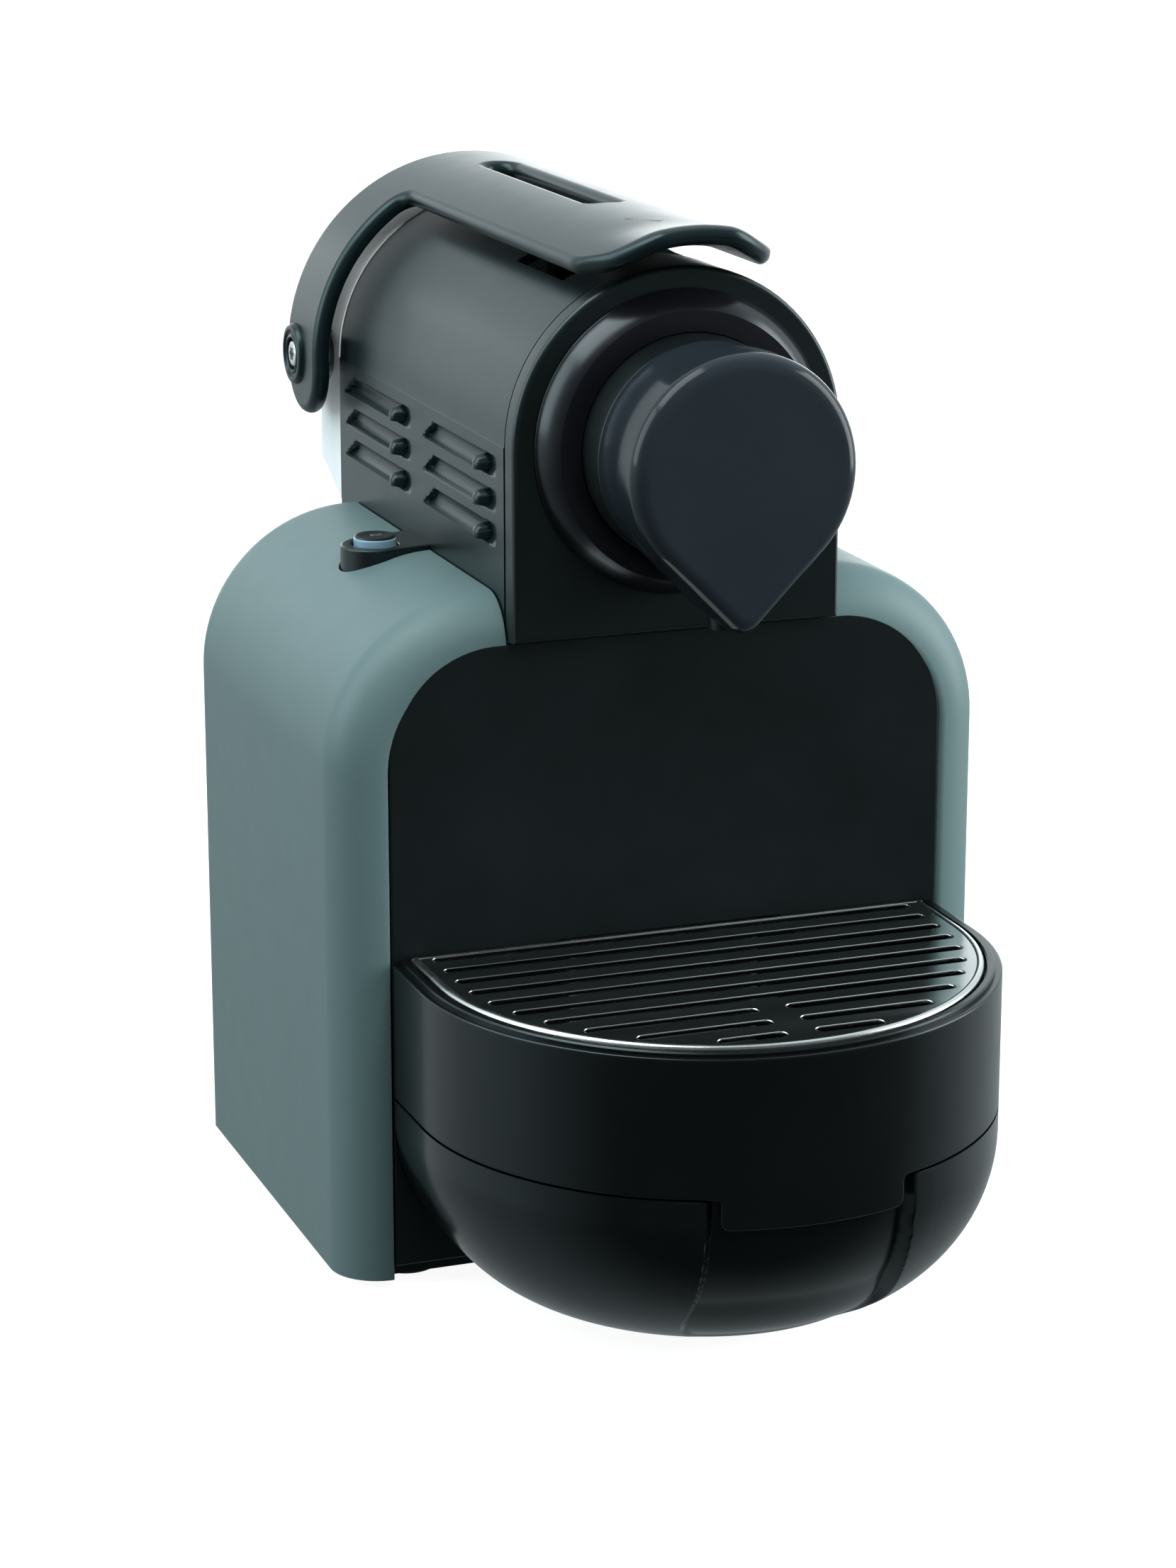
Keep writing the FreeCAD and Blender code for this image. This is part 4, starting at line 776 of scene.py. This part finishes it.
def make_head():
    radius = HEAD_HALF
    side = evenly([(0, HEAD.bottom), (0, VENTS_LOW)], 3.2)[:-1]
    side += evenly([(0, VENTS_LOW), (0, VENTS_HIGH)], 0.36)[:-1]
    side += [(0, VENTS_HIGH), (0, AXIS - 0.25), (0, AXIS - 0.03)]
    heights = [z for _, z in side]
    ys = [y for y, _ in evenly([(HEAD.front, 0), (HEAD.rear, 0)], 0.45)]
    rows = [[(-radius + vent_depth(y, z), y, z) for y in ys] for z in heights]
    for i in range(49):
        turn = radians(180 - 180 * i / 48)
        small = radius - STEP_IN
        height = AXIS + small * sin(turn) + (STEP_IN if i in (0, 48) else 0.0)
        rows.append([(small * cos(turn), y, height) for y in ys])
    rows += [[(radius - vent_depth(y, z), y, z) for y in ys] for z in reversed(heights)]
    head = rows_mesh("head_skin", rows, "head_plastic")
    work = bmesh.new()
    work.from_mesh(head.data)
    slot = []
    for face in work.faces:
        x, y, z = face.calc_center_median() / MM
        if z > AXIS + SLOT_HALF and abs(x) < SLOT_HALF and SLOT_FRONT < y < SLOT_REAR:
            slot.append(face)
    bmesh.ops.delete(work, geom=slot, context="FACES")
    work.to_mesh(head.data)
    work.free()
    thicken(head, HEAD_WALL)
    shade_smooth(head, 48)
    finish_piece(head, "base", "head_plastic", "head_cover")

    outline = tunnel_line(radius, BEZEL.bottom)
    bezel = plate("bezel_skin", [outline, circle(0, AXIS, NECK_R - 1.4, 96)], BEZEL.front, BEZEL.rear,
                  "y", 1.3, "satin_black", 5)
    finish_piece(bezel, "base", "satin_black", "head_bezel")
    make_ring()
    make_nose()
    make_hood()


def make_ring():
    """The dished ring, whose round face falls to a shallow dish, and the neck in its middle."""
    ring_r = (RING.right - RING.left) / 2
    back = RING.rear
    dish = [(back, NECK_R + 0.25), (back, ring_r - 0.1), (back - 0.3, ring_r),
            (back - 0.6, ring_r - 0.02)]
    start = ring_r - 0.1 - RING_FACE * sin(radians(RING_FIRST))
    drop = back - 0.7 + RING_FACE * cos(radians(RING_FIRST))
    for i in range(RING_STEPS + 1):
        turn = radians(RING_FIRST + (RING_LAST - RING_FIRST) * i / RING_STEPS)
        dish.append((drop - RING_FACE * cos(turn), start + RING_FACE * sin(turn)))
    edge_y, edge_r = dish[-1]
    for i in range(1, DISH_STEPS + 1):
        t = i / DISH_STEPS
        dish.append((edge_y + (RING.front + 0.05 - edge_y) * (1 - (1 - t) ** 2.2),
                     edge_r - (edge_r - NECK_R - 0.3) * t))
    ring = lathe("ring_skin", dish, (0, 0, AXIS), "y", 160, "gloss_black", 32)
    finish_piece(ring, "base", "gloss_black", "dished_ring")

    front, rear, inner = NECK.front, NECK.rear, NECK_R - 4
    tube = [(rear, inner), (rear, NECK_R - 1.7), (back - 4, NECK_R - 1.7), (back - 4, NECK_R - 0.1),
            (back - 5.2, NECK_R), (front + 0.5, NECK_R), (front + 0.12, NECK_R - 0.15),
            (front, NECK_R - 0.5), (front, inner)]
    neck = lathe("neck_skin", tube, (0, 0, AXIS), "y", 128, "satin_black", 30)
    finish_piece(neck, "base", "gloss_black", "nose_neck")


TIP = 5.0  # radius of the teardrop's tip
NOSE_WALL, NOSE_ROLL, NOSE_SKIRT = 2.4, 4.0, 0.8
NOSE_SEAM = NOSE.front + 13.0  # where the front part steps down to the skirt
OUTLET_Y, OUTLET_R = -62, 5.3


def drop_line(radius, tip_radius):
    """A teardrop about the head's axis, as (x, z) points: a big arc, two tangent flanks and a
    small round tip."""
    tip_centre = NOSE.bottom + TIP
    reach = AXIS - tip_centre
    lean = math.degrees(math.asin(((NOSE.right - NOSE.left) / 2 - TIP) / reach))
    points = arc(0, AXIS, radius, -lean, 180 + lean, 64)
    low = arc(0, tip_centre, tip_radius, 180 + lean, 360 - lean, 14)
    left = evenly([points[-1], low[0]], 3.0)[1:-1]
    right = evenly([low[-1], points[0]], 3.0)[1:-1]
    return points + left + low + right


def make_nose():
    """The teardrop cap: flat face with a soft rolled edge, hollow behind."""
    radius = (NOSE.right - NOSE.left) / 2
    front, rear, seam = NOSE.front, NOSE.rear, NOSE_SEAM
    wall, roll, skirt = NOSE_WALL, NOSE_ROLL, NOSE_SKIRT

    def row(y, deep):
        return [(x, y, z) for x, z in drop_line(radius - deep, max(TIP - deep, 0.6))]

    rows = [row(front + wall, 4.6), row(front + wall, wall), row(rear - 1, wall), row(rear, wall),
            row(rear, skirt + 0.4), row(rear - 0.15, skirt + 0.1), row(rear - 0.5, skirt)]
    rows += [row(rear - 0.5 - (rear - 0.5 - seam - 0.1) * i / 5, skirt) for i in range(1, 6)]
    rows += [row(seam, skirt - 0.1), row(seam - 0.05, 0.25), row(seam - 0.2, 0.06), row(seam - 0.5, 0.0)]
    rows += [row(seam - 0.5 - (seam - 0.5 - front - roll) * i / 4, 0.0) for i in range(1, 5)]
    for i in range(1, 13):
        turn = radians(90 * i / 12)
        rows.append(row(front + roll * (1 - sin(turn)), roll * (1 - cos(turn))))
    rows.append(row(front, roll + 0.5))
    nose = rows_mesh("nose_skin", rows, "nose_black", closed_columns=True, caps=True)
    drain = lathe("outlet", [(-12, ON_AXIS), (-12, OUTLET_R), (12, OUTLET_R), (12, ON_AXIS)],
                  (0, OUTLET_Y, NOSE.bottom), "z", 48)
    shade_smooth(bored(nose, drain), 40)
    finish_piece(nose, "base", "gloss_black", "nose_cover")


HOOD_WALL = 2.3
HOOD_ROLL = 6.0  # rounding of its rear edge
HOOD_STEP = 7.4  # how much higher its rear edge ends
HOOD_FOOT = 14.2  # length of its lowest part


def make_hood():
    """The pale rear end of the head, open below over the tank's lid."""
    radius = HEAD_HALF - 0.02
    low_rear = HOOD.bottom + HOOD_STEP
    half_arc = pi * radius / 2
    flat = HOOD.rear - HOOD_ROLL
    length = flat + pi * HOOD_ROLL / 2

    def place(u, v):
        deep, y = 0.0, v
        if v > flat:
            turn = min((v - flat) / HOOD_ROLL, pi / 2)
            y = flat + HOOD_ROLL * sin(turn)
            deep = HOOD_ROLL * (1 - cos(turn))
        r = radius - deep
        if abs(u) > half_arc:
            return (copysign(r, u), y, AXIS - (abs(u) - half_arc))
        turn = u / radius
        return (r * sin(turn), y, AXIS + r * cos(turn))

    edge_front = half_arc + AXIS - HOOD.bottom
    edge_rear = half_arc + AXIS - low_rear
    foot = HOOD.front + HOOD_FOOT
    outline = [(-edge_front, HOOD.front), (edge_front, HOOD.front), (edge_rear, foot),
               (edge_rear, length), (-edge_rear, length), (-edge_rear, foot)]
    bores = [[(side * (half_arc + AXIS - PIVOT_Z) + x, PIVOT_Y + y) for x, y in circle(0, 0, 7.15, 40)]
             for side in (-1, 1)]
    skin = sheet("hood_skin_part", [outline] + bores, 1.1, place, "hood_plastic")
    thicken(skin, HOOD_WALL)
    wall = plate("hood_wall", [tunnel_line(radius - HOOD_ROLL + 0.6, low_rear)], HOOD.rear - 2.4,
                 HOOD.rear, "y", 0.02, "hood_plastic")
    hood = shade_smooth(joined("hood_skin", skin, wall), 42)
    finish_piece(hood, "base", "hood_plastic", "rear_hood")


# ---------------------------------------------------------------- lever

LEVER_R = 48.5
LEVER_WALL = 4.5
LEVER_WRAP = 30.8  # half angle of the lever's shell in front of its arms
LEVER_CORNER = LEVER.front + 11  # where its side edges end
ARM_WIDE = 25
ARM_ROUND = 12.3
LIP_LONG = 16  # length over which the lip lifts
LIP_REACH = 11  # how far the lip's middle stands forward
LIP_FLAT = 8  # half width of the lip's level middle
HAND = (3.7, 14, 91.7, 2.0, 3.6)  # slot: half width, front, rear, front and rear corners
BOSS_STEPS = 64


def make_lever():
    half_arc = pi * LEVER_R / 2
    edge = LEVER_R * radians(LEVER_WRAP)
    foot = half_arc + AXIS - LEVER.bottom
    arm_front, arm_rear = LEVER.rear - ARM_WIDE, LEVER.rear
    rise = LEVER.top - AXIS - LEVER_R

    def place(u, v):
        if abs(u) > half_arc:
            return (copysign(LEVER_R, u), v, AXIS - (abs(u) - half_arc))
        turn = u / LEVER_R
        x = LEVER_R * sin(turn)
        near = min(max((LEVER_CORNER + LIP_LONG - v) / LIP_LONG, 0.0), 1.0)
        bulge = max(1 - (max(abs(x) - LIP_FLAT, 0.0) / 15.5) ** 2, 0.0)
        lift = rise * near ** 2.2 * (1 - smooth((abs(x) - LIP_FLAT) / 12))
        return (x, v - LIP_REACH * near * bulge, AXIS + LEVER_R * cos(turn) + lift)

    outline = rounded([(-edge, LEVER_CORNER, 8.0), (edge, LEVER_CORNER, 8.0), (edge, arm_front, 4.5),
                       (foot, arm_front, ARM_ROUND), (foot, arm_rear, ARM_ROUND),
                       (-foot, arm_rear, ARM_ROUND), (-foot, arm_front, ARM_ROUND),
                       (-edge, arm_front, 4.5)], 12)
    wide, front, rear, front_round, rear_round = HAND
    hand = rounded([(-wide, rear, rear_round), (wide, rear, rear_round), (wide, front, front_round),
                    (-wide, front, front_round)], 8)
    loops = [evenly(outline, 0.8, True), evenly(hand, 0.8, True)]
    slab = sheet("lever_slab", [inset(loop, LEVER_WALL / 2) for loop in loops], 1.0, place,
                 "head_plastic")
    shade_smooth(thicken(slab, LEVER_WALL), 40)
    rims = [shade_smooth(round_rim("lever_rim", loop, LEVER_WALL, place, "head_plastic"), 60)
            for loop in loops]

    reach = LEVER.right - LEVER_R
    turned = [(-3.6, ON_AXIS), (-3.6, 7.3), (-0.4, 7.8), (0.0, 7.8), (reach - 0.5, 7.6),
              (reach - 0.15, 7.35), (reach, 6.9), (reach, 6.2), (reach - 0.5, 5.8), (reach - 0.55, 5.2),
              (reach - 0.15, 4.75), (reach - 0.1, 4.35), (reach - 0.3, 4.15), (reach - 2.0, 4.1),
              (reach - 2.0, ON_AXIS)]
    bosses = [lathe("boss", [(side * along, r) for along, r in turned],
                    (side * LEVER_R, PIVOT_Y, PIVOT_Z), "x", BOSS_STEPS, "head_plastic", 40)
              for side in (-1, 1)]
    whole = joined("lever_skin", slab, *rims, *bosses)
    finish_piece(whole, "lever", "head_plastic", "lever")
    make_screws()
    grip_icon()


SCREW = [(0.0, ON_AXIS), (0.0, 2.6), (-0.08, 2.95), (-0.35, 3.25), (-0.8, 3.38), (-1.75, 3.38),
         (-1.78, 1.5), (-9.0, 1.5), (-9.0, ON_AXIS)]
STAR_R, STAR_LOBE = 1.62, 0.26  # the recess: mean radius and height of its lobes


def make_screws():
    """Pan heads with a six-lobed recess."""
    screws = []
    for side in (-1, 1):
        face = side * SCREWS.right
        head = lathe("screw", [(side * along, r) for along, r in SCREW], (face, PIVOT_Y, PIVOT_Z), "x",
                     BOSS_STEPS, "turned_steel")
        star = []
        for i in range(72):
            turn = 2 * pi * i / 72
            r = STAR_R + STAR_LOBE * cos(6 * turn)
            star.append((PIVOT_Y + r * cos(turn), PIVOT_Z + r * sin(turn)))
        low, high = sorted((face + side * 0.5, face - side * 1.25))
        screws.append(shade_smooth(bored(head, plate("star", [star], low, high, "x", 0.01)), 35))
    finish_piece(joined("screw_heads", *screws), "lever", "steel", "pivot_screws")


def grip_icon():
    """A generic raised arrow on the lever's top, behind the lip."""
    y = LEVER.front + 29.5
    z = AXIS + LEVER_R
    outer = rounded([(-5.5, y + 4, 0.4), (0, y - 4.5, 0.8), (5.5, y + 4, 0.4), (4.2, y + 4.6, 0.3),
                     (0, y - 2.4, 0.6), (-4.2, y + 4.6, 0.3)], 4)
    mark = plate("lever_mark", [outer], z - 0.8, z + 0.06, "z", 0.04, "head_plastic", 1)
    for vertex in mark.data.vertices:
        x = vertex.co.x / MM
        vertex.co.z -= (LEVER_R - sqrt(LEVER_R ** 2 - x * x)) * MM
    finish_piece(mark, "lever", "head_plastic")


# ---------------------------------------------------------------- tray, container and grid

def band(name, profile, radius, back, finish, steps, shade):
    """A closed (inset, height) profile swept along the tray's bow."""
    straight = evenly([(0.0, back), (0.0, TRAY_Y)], 4.0)[:-1]
    rows = [[(-(radius - deep), y, z) for deep, z in profile] for _, y in straight]
    for i in range(steps + 1):
        turn = radians(180 + 180 * i / steps)
        rows.append([((radius - deep) * cos(turn), TRAY_Y + (radius - deep) * sin(turn), z)
                     for deep, z in profile])
    rows += [[(radius - deep, y, z) for deep, z in profile] for _, y in reversed(straight)]
    piece = rows_mesh(name, rows, finish, closed_columns=True, caps=True)
    return shade_smooth(piece, shade)


BOX_WALL = 2.4
TAB_HALF = 22  # half width of the container's front tab
TAB_DROP = 7.2  # how far it hangs down
RIM_DROP = 1.0  # the wall ends this far below the ledge
MOUTH_HALF = MOUTH[2]


def make_container():
    back = BOX.rear
    low = BOX.bottom + TAB_DROP
    rim = BOX.top - RIM_DROP
    half_arc = pi * TRAY / 2
    length = half_arc + back - TRAY_Y
    tab = TRAY * math.asin(TAB_HALF / TRAY)
    black = "tray_black"

    def place(u, v):
        if abs(u) > half_arc:
            return (copysign(TRAY, u), TRAY_Y + abs(u) - half_arc, v)
        turn = u / TRAY
        return (TRAY * sin(turn), TRAY_Y - TRAY * cos(turn), v)

    outline = rounded([(-length, low, 0), (-tab, low, 1.2), (-tab, BOX.bottom, 2), (tab, BOX.bottom, 2),
                       (tab, low, 1.2), (length, low, 0), (length, rim, 0), (-length, rim, 0)], 6)
    wall = thicken(sheet("container_wall", [outline], 0.9, place, black), BOX_WALL)
    soften(wall, 0.45, 3, 50, 40)
    profile = [(1.7, rim - 2), (1.7, BOX.top - 0.35), (2.05, BOX.top), (3.3, BOX.top),
               (3.6, BOX.top - 0.3), (3.6, rim - 6), (1.9, rim - 6)]
    ledge = band("container_ledge", profile, TRAY, back, black, 120, 30)
    profile = [(2.2, rim - 6), (2.2, rim - 2.5), (6.0, rim - 2.5), (6.0, rim - 3.6)]
    shelf = band("container_shelf", profile, TRAY, back, black, 120, 30)
    floor = plate("container_floor", [bow_line(TRAY - 2.2, back - 0.3)], low, low + BOX_WALL, "z", 0.3,
                  black)
    parts = [wall, ledge, shelf, floor]
    for side in (-1, 1):
        left, right = sorted((side * MOUTH_HALF, side * (TRAY - 1.5)))
        outline = box_line(left, low + 0.5, right, rim - 2.5)
        parts.append(plate("container_back", [outline], back - 2.2, back, "y", 0.3, black))
    finish_piece(joined("container_skin", *parts), "container", "satin_black", "capsule_container")


def rounded_box_gap(x, z, half_x, half_z, radius):
    """Distance outside (positive) or inside (negative) a rounded rectangle about the origin."""
    dx = abs(x) - half_x + radius
    dz = abs(z) - half_z + radius
    return hypot(max(dx, 0), max(dz, 0)) + min(max(dx, dz), 0) - radius


BOWL_ROUND = 40.0  # radius of the bowl's belly
BOWL_WALL = 2.3
BELLY_STEPS = 96
FINE = 27.0  # half angle of the finely divided front
GRIP_HALF, GRIP_ROUND = 24.5, 9.0  # the finger recess: half width and corner radius
GRIP_LIFT = 3.0  # its lower edge above the bowl's floor
GRIP_DEEP = 3.2
GRIP_FADE = 13  # height over which it gets its full depth
GRIP_EDGE = 1.3  # width of its border's slope
SAME = 1e-6  # metres


def make_bowl():
    floor, top = BOWL.bottom, BOWL.top
    back = BOWL.rear - 0.1
    flat = TRAY - BOWL_ROUND
    profile = [(flat, floor, 0.0, -1.0)]
    for i in range(1, BELLY_STEPS + 1):
        turn = radians(90 * i / BELLY_STEPS)
        profile.append((flat + BOWL_ROUND * sin(turn), floor + BOWL_ROUND * (1 - cos(turn)),
                        sin(turn), -cos(turn)))
    rise = top - floor - BOWL_ROUND
    profile += [(TRAY, floor + BOWL_ROUND + rise * i / 10, 1.0, 0.0) for i in range(1, 11)]
    turns = [-90 + (90 - FINE) * i / 30 for i in range(30)]
    turns += [-FINE + 2 * FINE * i / 150 for i in range(151)]
    turns += [FINE + (90 - FINE) * i / 30 for i in range(1, 31)]
    low = floor + GRIP_LIFT
    middle = (low + top + 20) / 2
    rows = []
    for radius, z, out, up in profile:
        row = [(-radius, y, z) for y in (back, (back + TRAY_Y) / 2)]
        for degrees in turns:
            turn = radians(degrees)
            s, c = sin(turn), cos(turn)
            x, y = radius * s, TRAY_Y - radius * c
            gap = rounded_box_gap(x, z - middle, GRIP_HALF, middle - low, GRIP_ROUND)
            fade = 0.2 + 0.8 * smooth((z - low) / GRIP_FADE)
            push = GRIP_DEEP * fade * smooth(0.5 - gap / GRIP_EDGE) if y < TRAY_Y - 20 else 0.0
            row.append((x - push * out * s, y + push * out * c, z - push * up))
        row += [(radius, y, z) for y in ((back + TRAY_Y) / 2, back)]
        rows.append(row)
    bowl = rows_mesh("bowl_skin", rows, "bowl_black")
    work = bmesh.new()
    work.from_mesh(bowl.data)
    rear = [v for v in work.verts if abs(v.co.y - back * MM) < SAME]
    left = sorted([v for v in rear if v.co.x < 0], key=lambda v: v.co.z)
    right = sorted([v for v in rear if v.co.x > 0], key=lambda v: -v.co.z)
    work.faces.new(left + right)
    base = sorted([v for v in work.verts if abs(v.co.z - floor * MM) < SAME],
                  key=lambda v: math.atan2(v.co.y - (TRAY_Y + 12) * MM, v.co.x))
    work.faces.new(base)
    bmesh.ops.recalc_face_normals(work, faces=work.faces)
    work.to_mesh(bowl.data)
    work.free()
    soften(thicken(bowl, BOWL_WALL), 0.35, 2, 60, 35)
    finish_piece(bowl, "tray", "gloss_black", "drip_bowl")


SLOT_ROWS, SPLIT_ROWS = 10, 3  # rows of slots, and how many in front are in two
SLOT_PITCH = 8.35
SLOT_R = 1.6  # half width of a slot
SLOT_REACH = 61.5  # its half length, where the rim leaves room
BRIDGE = 3.4  # half width of what is left between two slots


def make_grid():
    back, top = GRID.rear, GRID.top
    radius = (GRID.right - GRID.left) / 2
    slots = []
    for row in range(SLOT_ROWS):
        depth = PANEL.front - 4.2 - SLOT_PITCH * row
        beyond = max(TRAY_Y - depth, 0.0)
        reach = min(sqrt((radius - 3.4) ** 2 - beyond ** 2), SLOT_REACH) - 1.0
        split = row >= SLOT_ROWS - SPLIT_ROWS
        for low, high in [(-reach, -BRIDGE), (BRIDGE, reach)] if split else [(-reach, reach)]:
            slots.append(arc(high - SLOT_R, depth, SLOT_R, -90, 90, 8)
                         + arc(low + SLOT_R, depth, SLOT_R, 90, 270, 8))
    outline = bow_line(radius - 1.0, back - 0.6)
    top_plate = plate("grid_plate", [outline] + slots, top - 1.3, top - 0.25, "z", 0.28, "steel")
    bead = [(0.0, GRID.bottom), (0.0, top - 1.0)]
    bead += [(1.05 - 1.05 * cos(radians(a)), top - 1.0 + 1.0 * sin(radians(a)))
             for a in range(15, 180, 15)]
    bead += [(2.2, top - 1.1), (1.3, top - 1.35), (1.2, GRID.bottom)]
    rim = band("grid_rim", bead, radius, back, "turned_steel", 160, 40)
    rear = plate("grid_rear", [box_line(0.2 - radius, GRID.bottom, radius - 0.2, top - 0.1)], back - 1.2,
                 back, "y", 0.35, "turned_steel")
    finish_piece(joined("grid_skin", top_plate, rim, rear), "grid", "steel", "drip_grid")


# ---------------------------------------------------------------- tank marks and feet

MARK_LEFT, MARK_TALL, MARK_SHORT, MARK_LONG = -58, 0.9, 9, 16


def make_tank_marks():
    """Level lines on the tank's rear wall."""
    parts = []
    for number in range(6):
        low = 40 + 18 * number
        left, right = MARK_LEFT, MARK_LEFT + (MARK_SHORT if number % 5 else MARK_LONG)
        line = box_line(left, low, right, low + MARK_TALL, 0.3, 3)
        parts.append(plate("level", [line], TANK.rear - 0.35, TANK.rear - 0.02, "y", 0.05,
                           "tank_print", 1))
    finish_piece(joined("tank_level_marks", *parts), "tank", "clear_tank")


FOOT = [(0.02, 5.6), (0.35, 6.0), (0.02, 6.4), (0.15, 7.4), (0.7, 8.0), (1.8, 8.0), (1.8, 5.0),
        (3.9, 5.0), (3.9, ON_AXIS), (0.3, ON_AXIS)]
FOOT_PLACES = [(62.0 * side, depth) for side in (-1, 1) for depth in (-16, 68)]


def make_feet():
    """Moulded rubber feet with a ribbed face."""
    feet = [lathe("foot", FOOT, (x, y, 0), "z", 48, "rubber", 40) for x, y in FOOT_PLACES]
    finish_piece(joined("feet_skin", *feet), "base", "rubber", "rubber_feet")


def dress_frame():
    """Every CAD node that stays in view gets its finish."""
    slots = {entry["node"]: entry["material_slot"] for entry in frame["record"]["subparts"]}
    for name, node in frame["nodes"].items():
        finish = FINISH[slots.get(name, "grey_plastic")]
        for holder in node.material_slots:
            holder.link = "OBJECT"
            holder.material = finish


# ---------------------------------------------------------------- stage

LIGHTS = {
    # name: place, target, width, height, brightness, colour, seen in reflections
    "left_box": ((-1.15, 0.25, 0.62), (0, 0.02, 0.12), 0.8, 0.9, 3.1, (0.84, 0.97, 1.0), True),
    "top_box": ((-0.50, 0.00, 1.15), (0, 0.0, 0.15), 0.75, 0.75, 4.8, (0.93, 0.99, 1.0), True),
    "right_box": ((1.00, -0.25, 0.40), (0, 0.0, 0.12), 0.6, 0.9, 5.0, (0.95, 0.99, 1.0), True),
    "right_fill": ((0.85, -0.75, 0.50), (0.03, 0.0, 0.12), 0.6, 0.6, 11.0, (0.95, 0.99, 1.0), False),
    "top_fill": ((-0.10, -0.70, 1.00), (0, 0.0, 0.15), 0.6, 0.6, 9.0, (0.95, 0.99, 1.0), False),
    "rear_box": ((0.6, 2.6, 0.35), (0, 0.05, 0.15), 2.6, 0.75, 2.5, (0.98, 0.99, 1.0), True),
}
ROOM = 9000  # half width and height of the pale room
FLOOR_DROP = 0.3  # keeps the floor off the machine's flat feet
SKY = (0.86, 0.97, 1.0, 1)
EYE = (-0.3397, -0.8896, 0.3798)
HEADING = (0.3480, 0.9375)  # the camera's direction in plan
TILT = radians(15.878)
LENS, SENSOR = 94.17, 36


def aim(holder, direction):
    holder.rotation_euler = direction.to_track_quat("-Z", "Y").to_euler()
    link(holder)


def softbox(name, place, target, wide, tall, radiance, colour, glossy):
    """An area light whose brightness is given as seen by a reflection."""
    lamp = bpy.data.lights.new(name, "AREA")
    lamp.shape = "RECTANGLE"
    lamp.size, lamp.size_y = wide, tall
    lamp.energy = radiance * pi * wide * tall
    lamp.color = colour
    holder = bpy.data.objects.new(name, lamp)
    holder.location = place
    holder.visible_camera = False
    holder.visible_glossy = glossy
    aim(holder, Vector(target) - Vector(place))


def make_room():
    """An even pale floor with walls far away; it lights nothing and isn't seen in reflections."""
    plan = [(-ROOM, -ROOM), (ROOM, -ROOM), (ROOM, ROOM), (-ROOM, ROOM)]
    corners = [(x, y, z) for z in (-FLOOR_DROP, ROOM) for x, y in plan]
    walls = [(i, (i + 1) % 4, (i + 1) % 4 + 4, i + 4) for i in range(4)]
    room = new_object("stage_floor", corners, [(0, 1, 2, 3)] + walls, "stage_paper")
    room.visible_diffuse = False
    room.visible_glossy = False
    room.visible_shadow = False


def make_world():
    """Even light from the sides, the back and above, dim from the front and from below."""
    world = bpy.data.worlds.new("studio")
    world.use_nodes = True
    nodes, links = world.node_tree.nodes, world.node_tree.links
    place = nodes.new("ShaderNodeTexCoord")
    split = nodes.new("ShaderNodeSeparateXYZ")
    links.new(place.outputs["Generated"], split.inputs["Vector"])
    sky = nodes["Background"]
    sky.inputs["Color"].default_value = SKY
    level = nodes.new("ShaderNodeMath")
    level.operation = "MULTIPLY"
    links.new(ramp(nodes, links, split.outputs["Y"], 0.13, 0.95, -0.50, 0.15), level.inputs[0])
    links.new(ramp(nodes, links, split.outputs["Z"], 0.40, 1.0, -0.45, -0.05), level.inputs[1])
    links.new(level.outputs["Value"], sky.inputs["Strength"])
    bpy.context.scene.world = world


def make_stage():
    make_room()
    make_world()
    for name, values in LIGHTS.items():
        softbox(name, *values)
    scene = bpy.context.scene
    scene.view_settings.view_transform = "Standard"
    camera = bpy.data.cameras.new("camera")
    camera.lens = LENS
    camera.sensor_width = SENSOR
    camera.clip_end = 50
    eye = bpy.data.objects.new("camera", camera)
    eye.location = EYE
    x, y = HEADING
    aim(eye, Vector((x * cos(TILT), y * cos(TILT), -sin(TILT))))
    scene.camera = eye


make_body()
make_head()
make_lever()
make_container()
make_bowl()
make_grid()
make_tank_marks()
make_feet()
dress_frame()
make_stage()
